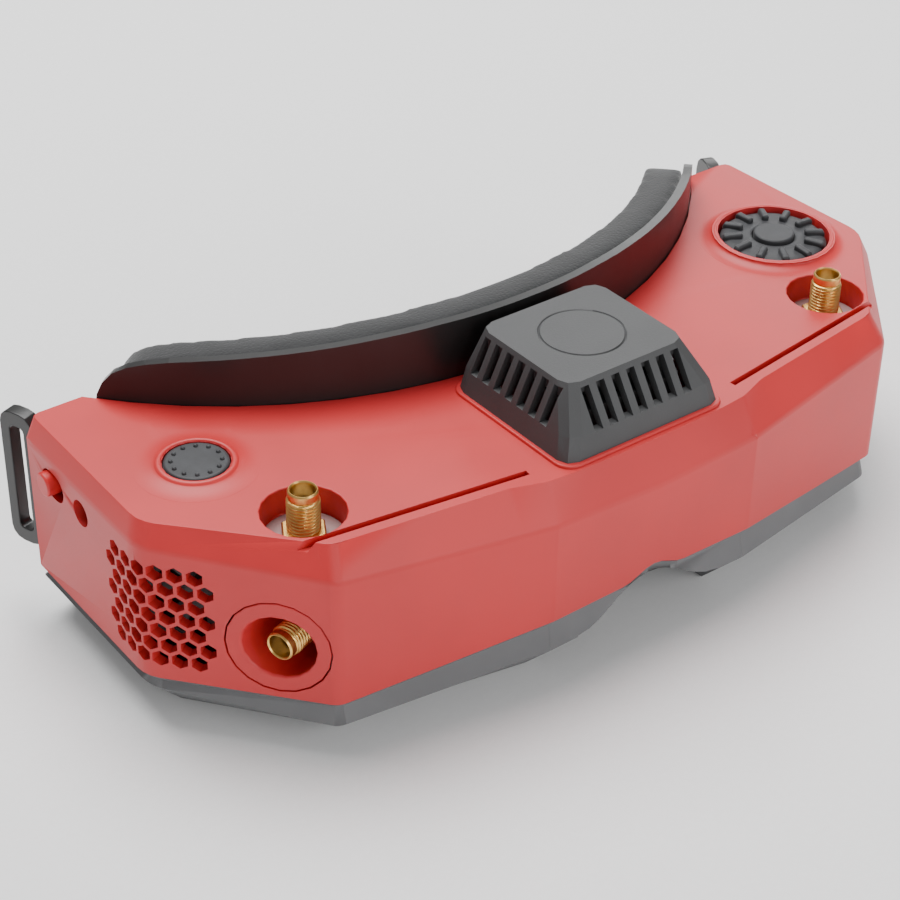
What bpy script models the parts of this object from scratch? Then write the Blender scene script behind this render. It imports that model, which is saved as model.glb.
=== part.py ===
"""Head-worn video goggles for flying model aircraft, as an assembly of separate pieces.

Design frame: +X is the wearer's left, -Y is the front, +Z is up. Height 0 is the flat top of the
upper housing and depth 0 is its rear edge. An empty then lifts the assembly so that the underside
stands on Z = 0 and the middle of its outline is at the origin.
"""
import math

import bmesh
import bpy
from mathutils import Matrix, Vector

MM = 0.001

# ---- clearances and walls ------------------------------------------------------------------
GAP = 0.3 * MM
RUN = 0.3 * MM
WALL = 2.0 * MM
TOP_WALL = 2.6 * MM

# ---- upper housing, half of its plan -------------------------------------------------------
WAIST_WIDTH = 93.2 * MM
CROWN_WIDTH = 91.5 * MM
FRONT_WAIST = 79.6 * MM
FRONT_CROWN = 76.2 * MM
BROW_X = 25.2 * MM
CORNER_X = 69.2 * MM
CORNER_Y = 71.6 * MM
CORNER_STEP = 3.8 * MM
SIDE_Y = 43.0 * MM
TAIL_WIDTH = 92.4 * MM
TAIL_CROWN = 90.3 * MM
EAR_X = 79.3 * MM
EAR_ROUND = 1.5 * MM
CORNER_ROUND = 4.5 * MM
SIDE_ROUND = 8.0 * MM
BROW_ROUND = 8.0 * MM
SPLIT_DROP = 34.0 * MM

# ---- face side -----------------------------------------------------------------------------
FACE_RADIUS = 101.0 * MM
FACE_CENTRE = 63.0 * MM
FRAME_WALL = 1.9 * MM
FRAME_TOP = 12.9 * MM
FRAME_HALF = 77.6 * MM
PAD_DEPTH = 8.5 * MM
PAD_INSET = 1.2 * MM
PLATE_STEPS = 40
BASE_DROP = 46.0 * MM

# ---- lower cover ---------------------------------------------------------------------------
LIP_INSET = 0.7 * MM
LEDGE_INSET = 1.7 * MM
LEDGE_DROP = 1.6 * MM
NOSE_PEAK = 30.2 * MM
NOSE_FLARE = (6.8 * MM, 18.0 * MM)
BROW_DROP = 27.1 * MM
BROW_ARCH = (2.35 * MM, 8.0 * MM)
KEEL_INSET = 8.0 * MM

# ---- fan cover and fans --------------------------------------------------------------------
COVER_HALF = 19.6 * MM
COVER_FRONT = 74.6 * MM
COVER_BACK = 40.0 * MM
COVER_TOP_HALF = 14.7 * MM
COVER_TOP_FRONT = 68.0 * MM
COVER_TOP_BACK = 41.5 * MM
COVER_KINK = 5.2 * MM
COVER_DRAFT = 1.2 * MM
SLOT_LOW = 5.0 * MM
SLOT_HIGH = 12.2 * MM
COVER_HEIGHT = 13.15 * MM
COVER_WALL = 1.5 * MM
COVER_ROUND = 3.0 * MM
TOP_FAN = 25.0 * MM
TOP_FAN_DEPTH = 7.0 * MM
SIDE_FAN = 20.0 * MM
SIDE_FAN_DEPTH = 6.0 * MM
SIDE_FAN_S = 28.0 * MM
SIDE_FAN_INSET = 6.5 * MM
SIDE_FAN_DROP = 19.2 * MM

# ---- controls on top -----------------------------------------------------------------------
CONTROL_X = 73.7 * MM
CONTROL_Y = 32.8 * MM
DIAL_RADIUS = 11.6 * MM
DIAL_TOP = 1.9 * MM
DIAL_RIBS = 12
DIAL_CAP_RADIUS = 4.4 * MM
RECORD_RADIUS = 6.2 * MM
RECORD_TOP = 1.0 * MM
RECORD_DIMPLES = 12
PRESS_ROOM = 0.9 * MM
COLLAR_WALL = 1.2 * MM

# ---- antenna jacks -------------------------------------------------------------------------
THREAD_RADIUS = 3.175 * MM
THREAD_LENGTH = 8.5 * MM
HEX_WIDTH = 8.0 * MM
HEX_DEPTH = 2.0 * MM
TAIL_RADIUS = 2.6 * MM
TAIL_LENGTH = 4.5 * MM
BORE_RADIUS = 2.3 * MM
BORE_DEPTH = 6.0 * MM
CORE_SINK = 3.4 * MM
TOP_JACK_X = 65.9 * MM
TOP_JACK_Y = 56.4 * MM
TOP_JACK_TIP = 4.8 * MM
WELL_RADIUS = 8.0 * MM
WELL_WALL = 1.5 * MM
CUP_S = 11.3 * MM
CUP_DROP = 22.3 * MM
CUP_RADIUS = 10.3 * MM
CUP_BORE = 6.7 * MM
CUP_SHELL = 1.0 * MM
CUP_FLANGE = 1.7 * MM
SIDE_JACK_LEAN = math.radians(20.2)
SIDE_JACK_SINK = 0.2 * MM

# ---- side openings -------------------------------------------------------------------------
VENT_PITCH = 3.8 * MM
VENT_ROW = 3.3 * MM
VENT_FLATS = 3.25 * MM
VENT_START = 24.6 * MM
VENT_DROP = 9.4 * MM
VENT_ROWS = 7
SLIDE_DROP = 9.3 * MM
SLIDE_Y = 9.8 * MM
SLIDE_TRAVEL = 2.6 * MM
SLIDE_RADIUS = 2.5 * MM
SLIDE_SLOT = 2.9 * MM
SLIDE_PROUD = 1.6 * MM
PHONES_Y = 22.0 * MM
PHONES_HOLE = 2.75 * MM
PORT_DROP = 16.0 * MM
POWER_Y = 7.5 * MM
POWER_HOLE = 4.0 * MM
VIDEO_Y = 19.5 * MM
VIDEO_HALF = (5.4 * MM, 1.6 * MM)
CARD_Y = 28.4 * MM
CARD_HALF = (1.2 * MM, 6.0 * MM)
TRENCH_WIDTH = 1.4 * MM
TRENCH_DEPTH = 1.6 * MM
TRENCH_RUN = 47.0 * MM
SLIT_RUN = 38.0 * MM
SLIT_MARGIN = 0.15 * MM
TRENCH_X = 25.8 * MM
TRENCH_Y = 70.8 * MM

# ---- optics --------------------------------------------------------------------------------
EYE_X = 32.0 * MM
EYE_TRAVEL = 3.5 * MM
EYE_DROP = 20.0 * MM
BARREL_RADIUS = 15.0 * MM
BARREL_WALL = 1.8 * MM
BARREL_FRONT = 57.5 * MM
BARREL_BACK = 33.0 * MM
FOCUS_TRAVEL = 2.5 * MM
CARRIER_HALF = 17.0 * MM
CARRIER_FRONT = 66.0 * MM
CARRIER_BACK = 45.0 * MM
CARRIER_ROUND = 15.0 * MM
RAIL_RADIUS = 1.5 * MM
RAIL_Y = 63.2 * MM
RAIL_HIGH = 6.0 * MM
RAIL_LOW = 34.0 * MM
RAIL_END = 55.0 * MM
FOOT_DEPTH = 3.5 * MM
KNOB_RADIUS = 5.5 * MM
KNOB_Y = 50.0 * MM
KNOB_DEPTH = 2.2 * MM
KNOB_GRIPS = 6
STEM_RADIUS = 1.5 * MM
IPD_Y = 60.0 * MM
IPD_TAB = (4.0 * MM, 2.4 * MM)
IPD_STEM = (2.0 * MM, 1.0 * MM)
PANEL_HALF = (11.0 * MM, 9.0 * MM)
POCKET_DEPTH = 3.0 * MM
POCKET_FLOOR = 1.5 * MM

# ---- strap loops and screws ----------------------------------------------------------------
LOOP_X = 88.6 * MM
LOOP_REACH = 9.2 * MM
LOOP_TOP = 1.6 * MM
LOOP_DROP = 32.4 * MM
LOOP_BAR = 2.4 * MM
LOOP_THICK = 3.0 * MM
LOOP_SPLAY = math.radians(20.0)
SCREW_HEAD = 1.9 * MM
SCREW_SHANK = 1.0 * MM
SCREW_PLACES = ((60.0 * MM, -56.0 * MM), (64.0 * MM, -20.0 * MM))

SIDES = {"left": 1.0, "right": -1.0}

# Underside line of the upper housing, and the foot of its sloping band, as (|x|, drop) stretches.
BROW_CURVE = tuple((BROW_ARCH[1] * i / 4.0,
                    BROW_DROP + BROW_ARCH[0] * (1.0 - math.cos(math.pi * i / 4.0)) / 2.0)
                   for i in range(5))
SPLIT_LINE = BROW_CURVE + ((BROW_X, 29.7 * MM), (49.0 * MM, 32.0 * MM), (CORNER_X, 33.8 * MM),
                           (WAIST_WIDTH, SPLIT_DROP))
WAIST_LINE = ((0.0, 8.8 * MM), (BROW_X, 7.5 * MM), (CORNER_X, 5.9 * MM), (WAIST_WIDTH, 4.3 * MM))
LIP_LINE = ((0.0, 37.0 * MM), (BROW_X, 37.4 * MM), (CORNER_X, 39.5 * MM), (84.0 * MM, 38.8 * MM),
            (WAIST_WIDTH, 36.6 * MM))


# ---- small geometry helpers ----------------------------------------------------------------
def along(line, x):
    """Height below the top on a broken line, at a distance x from the middle."""
    x = abs(x)
    for (x0, d0), (x1, d1) in zip(line, line[1:]):
        if x <= x1:
            return d0 + (d1 - d0) * (x - x0) / (x1 - x0)
    return line[-1][1]


def face_y(x, radius):
    """Depth of a circle round the wearer's face, at a distance x from the middle."""
    return FACE_CENTRE - math.sqrt(radius * radius - x * x)


def inset(points, distances):
    """Move each edge of a counter-clockwise polygon inwards by its own distance."""
    count = len(points)
    moved = []
    for i in range(count):
        here = points[i]
        before = (here - points[i - 1]).normalized()
        after = (points[(i + 1) % count] - here).normalized()
        n0 = Vector((-before.y, before.x))
        n1 = Vector((-after.y, after.x))
        d0, d1 = distances[i - 1], distances[i]
        cross = before.x * after.y - before.y * after.x
        if abs(cross) < 1e-6:
            moved.append(here + n1 * d1)
            continue
        gap = (here + n1 * d1) - (here + n0 * d0)
        step = (gap.x * after.y - gap.y * after.x) / cross
        moved.append(here + n0 * d0 + before * step)
    return moved


def rounded(points, radii, steps):
    """Replace each corner of a closed polygon that has a radius by a tangent arc."""
    count = len(points)
    result = []
    for i in range(count):
        here = points[i]
        if steps[i] == 0:
            result.append(here)
            continue
        to_last = (points[i - 1] - here).normalized()
        to_next = (points[(i + 1) % count] - here).normalized()
        half = to_last.angle(to_next) / 2.0
        reach = radii[i] / math.tan(half)
        centre = here + (to_last + to_next).normalized() * (radii[i] / math.sin(half))
        start = (here + to_last * reach - centre).normalized()
        end = (here + to_next * reach - centre).normalized()
        for k in range(steps[i] + 1):
            result.append(centre + start.slerp(end, k / steps[i]) * radii[i])
    return result


def circle(radius, sides, centre=(0.0, 0.0), turn=0.0):
    """Counter-clockwise points of a circle in the plane."""
    points = []
    for i in range(sides):
        angle = turn + 2.0 * math.pi * i / sides
        points.append(Vector((centre[0] + radius * math.cos(angle),
                              centre[1] + radius * math.sin(angle))))
    return points


def hexagon(flats, sides, turn=0.0):
    """A hexagon given as many points as a circle has, so that the two can be joined."""
    points = []
    for i in range(sides):
        angle = 2.0 * math.pi * i / sides
        lean = (angle % (math.pi / 3.0)) - math.pi / 6.0
        reach = flats / 2.0 / math.cos(lean)
        points.append(Vector((reach * math.cos(angle + turn), reach * math.sin(angle + turn))))
    return points


def rectangle(low_x, high_x, low_y, high_y, radius=0.0, steps=0):
    """A counter-clockwise rectangle, with round corners where a radius is given."""
    corners = [Vector((low_x, low_y)), Vector((high_x, low_y)),
               Vector((high_x, high_y)), Vector((low_x, high_y))]
    return rounded(corners, [radius] * 4, [steps] * 4)


def stadium(half_length, radius, steps=4):
    """A slot outline with round ends, along its first axis."""
    return rectangle(-half_length - radius, half_length + radius, -radius, radius,
                     radius * 0.999, steps)


# ---- mesh helpers --------------------------------------------------------------------------
def add_loft(bm, rings, frame=Matrix.Identity(4), closed=False):
    """Join rings of equally many points into one solid; the ends are capped unless it closes."""
    loops = [[bm.verts.new(frame @ Vector(p)) for p in ring] for ring in rings]
    pairs = list(zip(loops, loops[1:]))
    if closed:
        pairs.append((loops[-1], loops[0]))
    for low, high in pairs:
        for i in range(len(low)):
            j = (i + 1) % len(low)
            bm.faces.new((low[i], low[j], high[j], high[i]))
    if not closed:
        bm.faces.new(list(reversed(loops[0])))
        bm.faces.new(loops[-1])


def level(points, height):
    """Lift plane points to one height."""
    return [(p.x, p.y, height) for p in points]


def add_prism(bm, outline, low, high, frame=Matrix.Identity(4)):
    """Extrude an outline between two heights."""
    add_loft(bm, [level(outline, low), level(outline, high)], frame)


def add_cylinder(bm, radius, low, high, centre=(0.0, 0.0), sides=24, frame=Matrix.Identity(4)):
    """Extrude a circle between two heights."""
    add_prism(bm, circle(radius, sides, centre), low, high, frame)


def add_box(bm, low, high, frame=Matrix.Identity(4)):
    """A box between two opposite corners."""
    add_prism(bm, rectangle(low[0], high[0], low[1], high[1]), low[2], high[2], frame)


def add_ring(bm, outer, inner, low, high, frame=Matrix.Identity(4)):
    """Extrude the band between two outlines of equally many points."""
    add_loft(bm, [level(outer, low), level(outer, high), level(inner, high), level(inner, low)],
             frame, closed=True)


def add_turned(bm, profile, sides=24, frame=Matrix.Identity(4), closed=False):
    """Turn (radius, height) points about the upright axis."""
    add_loft(bm, [level(circle(r, sides), z) for r, z in profile], frame, closed)


# ---- objects -------------------------------------------------------------------------------
def clear_scene():
    for item in list(bpy.data.objects):
        bpy.data.objects.remove(item, do_unlink=True)


def make_material(name, colour, roughness, metallic=0.0):
    material = bpy.data.materials.new(name)
    material.use_nodes = True
    shader = material.node_tree.nodes["Principled BSDF"]
    shader.inputs["Base Color"].default_value = (*colour, 1.0)
    shader.inputs["Roughness"].default_value = roughness
    shader.inputs["Metallic"].default_value = metallic
    material.diffuse_color = (*colour, 1.0)
    return material


def make_empty(name, location, parent=None):
    empty = bpy.data.objects.new(name, None)
    empty.location = location
    empty.parent = parent
    bpy.context.collection.objects.link(empty)
    return empty


def make_object(name, bm, material=None, location=(0.0, 0.0, 0.0), turn=None):
    """Turn a bmesh into a placed object; one without a material is a cutter or a guide."""
    bmesh.ops.recalc_face_normals(bm, faces=bm.faces)
    mesh = bpy.data.meshes.new(name)
    bm.to_mesh(mesh)
    bm.free()
    item = bpy.data.objects.new(name, mesh)
    item.parent = ORIGIN
    item.location = location
    if turn is not None:
        item.rotation_euler = turn.to_euler()
    bpy.context.collection.objects.link(item)
    if material is None:
        item.hide_render = True
        item.display_type = "WIRE"
    else:
        mesh.materials.append(material)
        mesh.shade_smooth()
        mesh.set_sharp_from_angle(angle=math.radians(30.0))
    return item


def combine(item, bm, name, operation):
    """Cut a shape from an object, add it to the object, or keep only what is inside it."""
    tool = make_object(name, bm)
    modifier = item.modifiers.new(name, "BOOLEAN")
    modifier.operation = operation
    modifier.solver = "EXACT"
    modifier.object = tool
    return tool


def wall_frame(side, s, drop, sink=0.0):
    """Frame on the slanting corner wall: local X runs along it, Y is up and Z points out."""
    start = Vector((CORNER_X, -CORNER_Y, 0.0))
    end = Vector((WAIST_WIDTH, -SIDE_Y, 0.0))
    tangent = (end - start).normalized()
    outward = Vector((-tangent.y, tangent.x, 0.0)) * -1.0
    place = start + tangent * s - outward * sink - Vector((0.0, 0.0, drop))
    place.x *= side
    tangent.x *= side
    outward.x *= side
    up = outward.cross(tangent)
    frame = Matrix((tangent, up, outward)).transposed().to_4x4()
    frame.translation = place
    return frame


# ---- plan of the housing -------------------------------------------------------------------
def base_plan(crown):
    """Corner points of the plan, counter-clockwise, with the radius and steps of each corner."""
    brow = 2.5 * MM if crown else 0.0
    front = FRONT_CROWN if crown else FRONT_WAIST
    width = CROWN_WIDTH if crown else WAIST_WIDTH
    tail = TAIL_CROWN if crown else TAIL_WIDTH
    corner = (CORNER_X - 1.7 * MM, CORNER_STEP) if crown else (CORNER_X, 0.0)
    side = SIDE_Y - (1.3 * MM if crown else 0.0)
    reach = (CORNER_Y - FRONT_WAIST) / (CORNER_X - BROW_X)
    half = []
    for x in (2.0 * MM, 4.0 * MM, 6.0 * MM, 8.0 * MM, 11.0 * MM, 14.5 * MM, 18.0 * MM):
        sag = 0.6 * MM * (x / BROW_X) ** 2 if crown else 0.0
        half.append((x, -front + sag, 0.0, 0))
    for x in (BROW_X, BROW_X + 7.0 * MM):
        drop = FRONT_WAIST + reach * (x - BROW_X)
        if crown:
            drop = front - 0.9 * MM if x == BROW_X else CORNER_Y - CORNER_STEP + 5.0 * MM
        half.append((x - (0.5 * MM if crown else 0.0), -drop, BROW_ROUND if crown else 3.0 * MM, 2))
    half.append((49.0 * MM, 0.0, 0.0, 0))
    half.append((corner[0], -CORNER_Y + corner[1], CORNER_ROUND, 4))
    x0, y0 = half[-3][0], half[-3][1]
    x1, y1 = half[-1][0], half[-1][1]
    half[-2] = (49.0 * MM, y0 + (y1 - y0) * (49.0 * MM - x0) / (x1 - x0), 0.0, 0)
    half.append((width, -side, SIDE_ROUND, 3))
    half.append((tail, 0.0, EAR_ROUND, 2))
    radius = FACE_RADIUS + GAP
    swing = math.asin(EAR_X / radius)
    rear_steps = 9
    for i in range(rear_steps + 1):
        x = radius * math.sin(swing * (1.0 - i / rear_steps))
        half.append((x, face_y(x, radius), 0.0, 0))
    full = [(0.0, -front, 0.0, 0)] + half
    full += [(-x, y, r, n) for x, y, r, n in reversed(half[:-1])]
    return full


def is_rear(point):
    """Whether a plan corner lies on the curved rear edge or an ear."""
    return point[1] > face_y(min(abs(point[0]), EAR_X), FACE_RADIUS + GAP) - 0.01 * MM


def plan(crown, distances=0.0):
    """The rounded plan, with each edge moved inwards."""
    corners = base_plan(crown)
    points = [Vector((x, y)) for x, y, _, _ in corners]
    if not isinstance(distances, list):
        distances = [distances] * len(points)
    radii = []
    for corner, distance in zip(corners, distances):
        radii.append(max(corner[2] - distance, 0.3 * MM))
    return rounded(inset(points, distances), radii, [corner[3] for corner in corners])


def keel_plan(extra):
    """The plan of the underside: the front and sides lean in, the rear stays upright."""
    corners = base_plan(False)
    distances = []
    for i in range(len(corners)):
        rear = is_rear(corners[i]) and is_rear(corners[(i + 1) % len(corners)])
        distances.append(extra if rear else KEEL_INSET + extra)
    return plan(False, distances)


def draped(points, line, extra=0.0):
    """Hang plan points on a broken line."""
    return [(p.x, p.y, -along(line, p.x) - extra) for p in points]


# ---- housing -------------------------------------------------------------------------------
def build_upper_housing(paint):
    bm = bmesh.new()
    inner_waist = plan(False, WALL)
    inner_crown = plan(True, WALL)
    rings = [draped(plan(False), SPLIT_LINE), draped(plan(False), WAIST_LINE),
             level(plan(True), 0.0)]
    inner = [draped(inner_waist, SPLIT_LINE), draped(inner_waist, WAIST_LINE),
             level(inner_crown, -TOP_WALL)]
    loops = [[bm.verts.new(p) for p in ring] for ring in rings + inner]
    pairs = ((0, 1), (1, 2), (3, 4), (4, 5), (0, 3))
    for a, b in pairs:
        for i in range(len(loops[a])):
            j = (i + 1) % len(loops[a])
            bm.faces.new((loops[a][i], loops[a][j], loops[b][j], loops[b][i]))
    bm.faces.new(loops[2])
    bm.faces.new(loops[5])
    housing = make_object("upper_housing", bm, paint)
    add_housing_bosses(housing)
    cut_housing_top(housing)
    cut_housing_sides(housing)
    cut_eye_windows(housing, "housing_windows")
    return housing


def add_housing_bosses(housing):
    bm = bmesh.new()
    floor = TOP_JACK_TIP - THREAD_LENGTH - HEX_DEPTH - GAP
    for side in SIDES.values():
        add_cylinder(bm, WELL_RADIUS + WELL_WALL, floor - WALL, -TOP_WALL / 2.0,
                     (side * TOP_JACK_X, -TOP_JACK_Y), 20)
    add_cylinder(bm, DIAL_RADIUS + 2.0 * GAP + COLLAR_WALL, -TOP_WALL / 2.0, DIAL_TOP - 0.5 * MM,
                 (CONTROL_X, -CONTROL_Y), 28)
    add_cylinder(bm, RECORD_RADIUS + GAP + COLLAR_WALL, -TOP_WALL / 2.0, RECORD_TOP - 0.2 * MM,
                 (-CONTROL_X, -CONTROL_Y), 20)
    combine(housing, bm, "housing_bosses", "UNION")


def cut_housing_top(housing):
    bm = bmesh.new()
    floor = TOP_JACK_TIP - THREAD_LENGTH - HEX_DEPTH - GAP
    room = 6.0 * MM
    for side in SIDES.values():
        centre = (side * TOP_JACK_X, -TOP_JACK_Y)
        tail = TAIL_RADIUS + GAP
        below = floor - WALL - 1.0 * MM
        add_turned(bm, ((tail, below), (tail, floor), (WELL_RADIUS, floor), (WELL_RADIUS, room)),
                   20, Matrix.Translation((centre[0], centre[1], 0.0)))
    add_cylinder(bm, DIAL_RADIUS + 2.0 * GAP, -room, room, (CONTROL_X, -CONTROL_Y), 28)
    add_cylinder(bm, RECORD_RADIUS + GAP, -room, room, (-CONTROL_X, -CONTROL_Y), 20)
    add_cylinder(bm, TOP_FAN / 2.0 - 1.2 * MM, -room, room, (0.0, fan_centre_y()), 20)
    combine(housing, bm, "housing_top_cuts", "DIFFERENCE")
    cut_trench(housing, "housing_trenches", TRENCH_X, TRENCH_RUN, TRENCH_WIDTH, -TRENCH_DEPTH)
    cut_trench(housing, "housing_slits", TRENCH_X + SLIT_MARGIN, SLIT_RUN,
               TRENCH_WIDTH - 2.0 * SLIT_MARGIN, -TOP_WALL - 1.0 * MM)


def cut_trench(housing, name, inner_x, length, width, floor):
    """A straight groove along each brow, from its inner end outwards."""
    bm = bmesh.new()
    for side in SIDES.values():
        slope = (FRONT_WAIST - CORNER_Y) / (CORNER_X - BROW_X)
        run = Vector((side, slope * 0.75)).normalized()
        start = Vector((side * TRENCH_X, -TRENCH_Y)) + run * (inner_x - TRENCH_X)
        across = Vector((-run.y, run.x)) * width / 2.0
        end = start + run * length
        corners = [start - across, end - across, end + across, start + across]
        if side < 0.0:
            corners.reverse()
        add_prism(bm, corners, floor, 6.0 * MM)
    combine(housing, bm, name, "DIFFERENCE")


def vent_places():
    """Centres of the vents, as (distance along the wall, drop)."""
    for row in range(VENT_ROWS):
        count = 6 + row % 2
        start = VENT_START + (0.0 if row % 2 else VENT_PITCH / 2.0)
        for i in range(count):
            yield start + i * VENT_PITCH, VENT_DROP + row * VENT_ROW


def vent_frame(side, s, drop):
    """Frame on the wall at a vent; near the side corner it points along the bisector."""
    length = math.hypot(WAIST_WIDTH - CORNER_X, CORNER_Y - SIDE_Y)
    frame = wall_frame(side, min(s, length), drop)
    tangent = Vector((frame[0][0], frame[1][0], 0.0))
    if s > length:
        lean = Vector((side * (TAIL_WIDTH - WAIST_WIDTH), SIDE_Y, 0.0)).normalized()
        frame.translation += lean * (s - length)
        tangent = lean
    if abs(s - length) < 0.9 * VENT_PITCH:
        straight = Vector((0.0, 1.0, 0.0))
        slant = Vector((side * (WAIST_WIDTH - CORNER_X), CORNER_Y - SIDE_Y, 0.0)).normalized()
        tangent = (straight + slant).normalized()
    outward = Vector((tangent.y, -tangent.x, 0.0)) * side
    up = outward.cross(tangent)
    place = frame.translation.copy()
    frame = Matrix((tangent, up, outward)).transposed().to_4x4()
    frame.translation = place
    return frame


def cut_housing_sides(housing):
    bm = bmesh.new()
    proud = 1.4 * MM
    deep = 3.4 * MM
    draft = 0.8
    corner = VENT_FLATS / math.sqrt(3.0)
    for side in SIDES.values():
        for s, drop in vent_places():
            outer = level(circle(corner, 6, turn=math.pi / 2.0), proud)
            inner = level(circle(corner * draft, 6, turn=math.pi / 2.0), -deep)
            add_loft(bm, [inner, outer], vent_frame(side, s, drop))
        add_cylinder(bm, CUP_RADIUS, -5.0 * MM, 4.0 * MM, sides=20,
                     frame=wall_frame(side, CUP_S, CUP_DROP))
    add_prism(bm, stadium(SLIDE_TRAVEL / 2.0, SLIDE_SLOT), -4.0 * MM, 4.0 * MM,
              side_frame(-1.0, SLIDE_Y + SLIDE_TRAVEL / 2.0, SLIDE_DROP))
    add_cylinder(bm, PHONES_HOLE, -4.0 * MM, 4.0 * MM, sides=20,
                 frame=side_frame(-1.0, PHONES_Y, SLIDE_DROP))
    add_cylinder(bm, POWER_HOLE, -4.0 * MM, 4.0 * MM, sides=20,
                 frame=side_frame(1.0, POWER_Y, PORT_DROP))
    for y, half in ((VIDEO_Y, VIDEO_HALF), (CARD_Y, CARD_HALF)):
        add_box(bm, (-half[0], -half[1], -4.0 * MM), (half[0], half[1], 4.0 * MM),
                side_frame(1.0, y, PORT_DROP))
    combine(housing, bm, "housing_side_cuts", "DIFFERENCE")


def side_frame(side, y, drop):
    """Frame on the upright side wall: local X runs to the rear, Y is up and Z points out."""
    lean = Vector((side * (TAIL_WIDTH - WAIST_WIDTH), SIDE_Y, 0.0)).normalized()
    outward = Vector((lean.y, -lean.x, 0.0)) * side
    share = (SIDE_Y - y) / SIDE_Y
    x = side * (WAIST_WIDTH + (TAIL_WIDTH - WAIST_WIDTH) * share)
    frame = Matrix((lean, outward.cross(lean), outward)).transposed().to_4x4()
    frame.translation = Vector((x, -y, -drop))
    return frame


def cut_eye_windows(item, name):
    """The openings in the rear walls, wide enough for a barrel at both ends of its travel."""
    bm = bmesh.new()
    reach = BARREL_RADIUS + 1.0 * MM
    for side in SIDES.values():
        outline = rectangle(side * EYE_X - EYE_TRAVEL - reach, side * EYE_X + EYE_TRAVEL + reach,
                            -EYE_DROP - reach, -EYE_DROP + reach, 10.0 * MM, 3)
        add_loft(bm, [[(p.x, -44.0 * MM, p.y) for p in outline],
                      [(p.x, -10.0 * MM, p.y) for p in outline]])
    combine(item, bm, name, "DIFFERENCE")


# ---- lower cover ---------------------------------------------------------------------------
def nose_outline(grow):
    """Front view of the nose tunnel, closed well below the underside."""
    rise, width = NOSE_FLARE
    steps = 7
    half = [(width * i / steps, NOSE_PEAK + rise * (1.0 - math.cos(math.pi * i / steps)) / 2.0)
            for i in range(steps + 1)]
    for across, down in ((1.6, 1.2), (2.9, 3.6), (4.0, 7.4), (5.0, 13.0)):
        half.append((width + across * MM, NOSE_PEAK + rise + down * MM))
    points = [Vector((x, -drop)) for x, drop in half]
    points = [Vector((-p.x, p.y)) for p in reversed(points[1:])] + points
    return inset(list(reversed(points)), [-grow] * len(points))


def tunnel(grow):
    bm = bmesh.new()
    outline = nose_outline(grow)
    add_loft(bm, [[(p.x, -95.0 * MM, p.y) for p in outline], [(p.x, 0.0, p.y) for p in outline]])
    return bm


def cover_rings(extra, rise=0.0):
    """Rings of the lower cover from its underside to its rim, all moved inwards by one wall."""
    top = plan(False, GAP + extra)
    lip = plan(False, LIP_INSET + extra)
    ledge = plan(False, LEDGE_INSET + extra)
    return [level(keel_plan(LIP_INSET + extra), -BASE_DROP + extra),
            draped(lip, LIP_LINE, -0.5 * extra),
            draped(ledge, SPLIT_LINE, GAP + LEDGE_DROP),
            draped(top, SPLIT_LINE, GAP - rise)]


def build_lower_cover(plastic):
    bm = bmesh.new()
    add_loft(bm, cover_rings(0.0) + list(reversed(cover_rings(WALL))))
    cover = make_object("lower_cover", bm, plastic)
    bridge = combine(cover, tunnel(WALL), "nose_bridge", "UNION")
    bm = bmesh.new()
    add_loft(bm, cover_rings(GAP, rise=5.0 * MM))
    combine(bridge, bm, "nose_bridge_ends", "INTERSECT")
    combine(cover, tunnel(0.0), "nose_tunnel", "DIFFERENCE")
    bm = bmesh.new()
    floor = -BASE_DROP + POCKET_DEPTH + POCKET_FLOOR
    for side in SIDES.values():
        low_x, high_x, low_y, high_y = pocket_limits(side)
        margin = POCKET_FLOOR
        add_box(bm, (low_x - margin, low_y - margin, -BASE_DROP + WALL / 2.0),
                (high_x + margin, high_y + margin, floor))
        for x, y in SCREW_PLACES:
            add_cylinder(bm, SCREW_HEAD + 1.5 * MM, -BASE_DROP + WALL / 2.0, -BASE_DROP + 6.0 * MM,
                         (side * x, y), 12)
    combine(cover, bm, "cover_bosses", "UNION")
    cut_cover_floor(cover)
    cut_eye_windows(cover, "cover_windows")
    return cover


def pocket_limits(side):
    """Plan limits of the pocket that the two knobs of an eye sit in."""
    reach = KNOB_RADIUS + EYE_TRAVEL + 1.0 * MM
    centre = side * EYE_X
    return (centre - reach, centre + reach, -IPD_Y - IPD_TAB[1] - 1.0 * MM,
            -KNOB_Y + KNOB_RADIUS + 1.0 * MM)


def cut_cover_floor(cover):
    bm = bmesh.new()
    below = -BASE_DROP - 2.0 * MM
    floor = -BASE_DROP + POCKET_DEPTH
    above = floor + POCKET_FLOOR + 1.0 * MM
    for side in SIDES.values():
        low_x, high_x, low_y, high_y = pocket_limits(side)
        add_prism(bm, rectangle(low_x, high_x, low_y, high_y, 2.0 * MM, 1), below, floor)
    combine(cover, bm, "knob_pockets", "DIFFERENCE")
    bm = bmesh.new()
    for side in SIDES.values():
        frame = Matrix.Translation((side * EYE_X, -KNOB_Y, 0.0))
        add_prism(bm, stadium(EYE_TRAVEL + GAP, STEM_RADIUS + RUN, 3), floor - MM, above, frame)
        half_x = IPD_STEM[0] + EYE_TRAVEL + 2.0 * GAP
        half_y = IPD_STEM[1] + RUN
        add_box(bm, (side * EYE_X - half_x, -IPD_Y - half_y, floor - MM),
                (side * EYE_X + half_x, -IPD_Y + half_y, above))
        for x, y in SCREW_PLACES:
            head = -BASE_DROP + 2.0 * MM
            profile = ((SCREW_HEAD + GAP, below), (SCREW_HEAD + GAP, head),
                       (SCREW_SHANK + GAP, head), (SCREW_SHANK + GAP, head + 6.0 * MM))
            add_turned(bm, profile, 12, Matrix.Translation((side * x, y, 0.0)))
    combine(cover, bm, "cover_floor_cuts", "DIFFERENCE")


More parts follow.
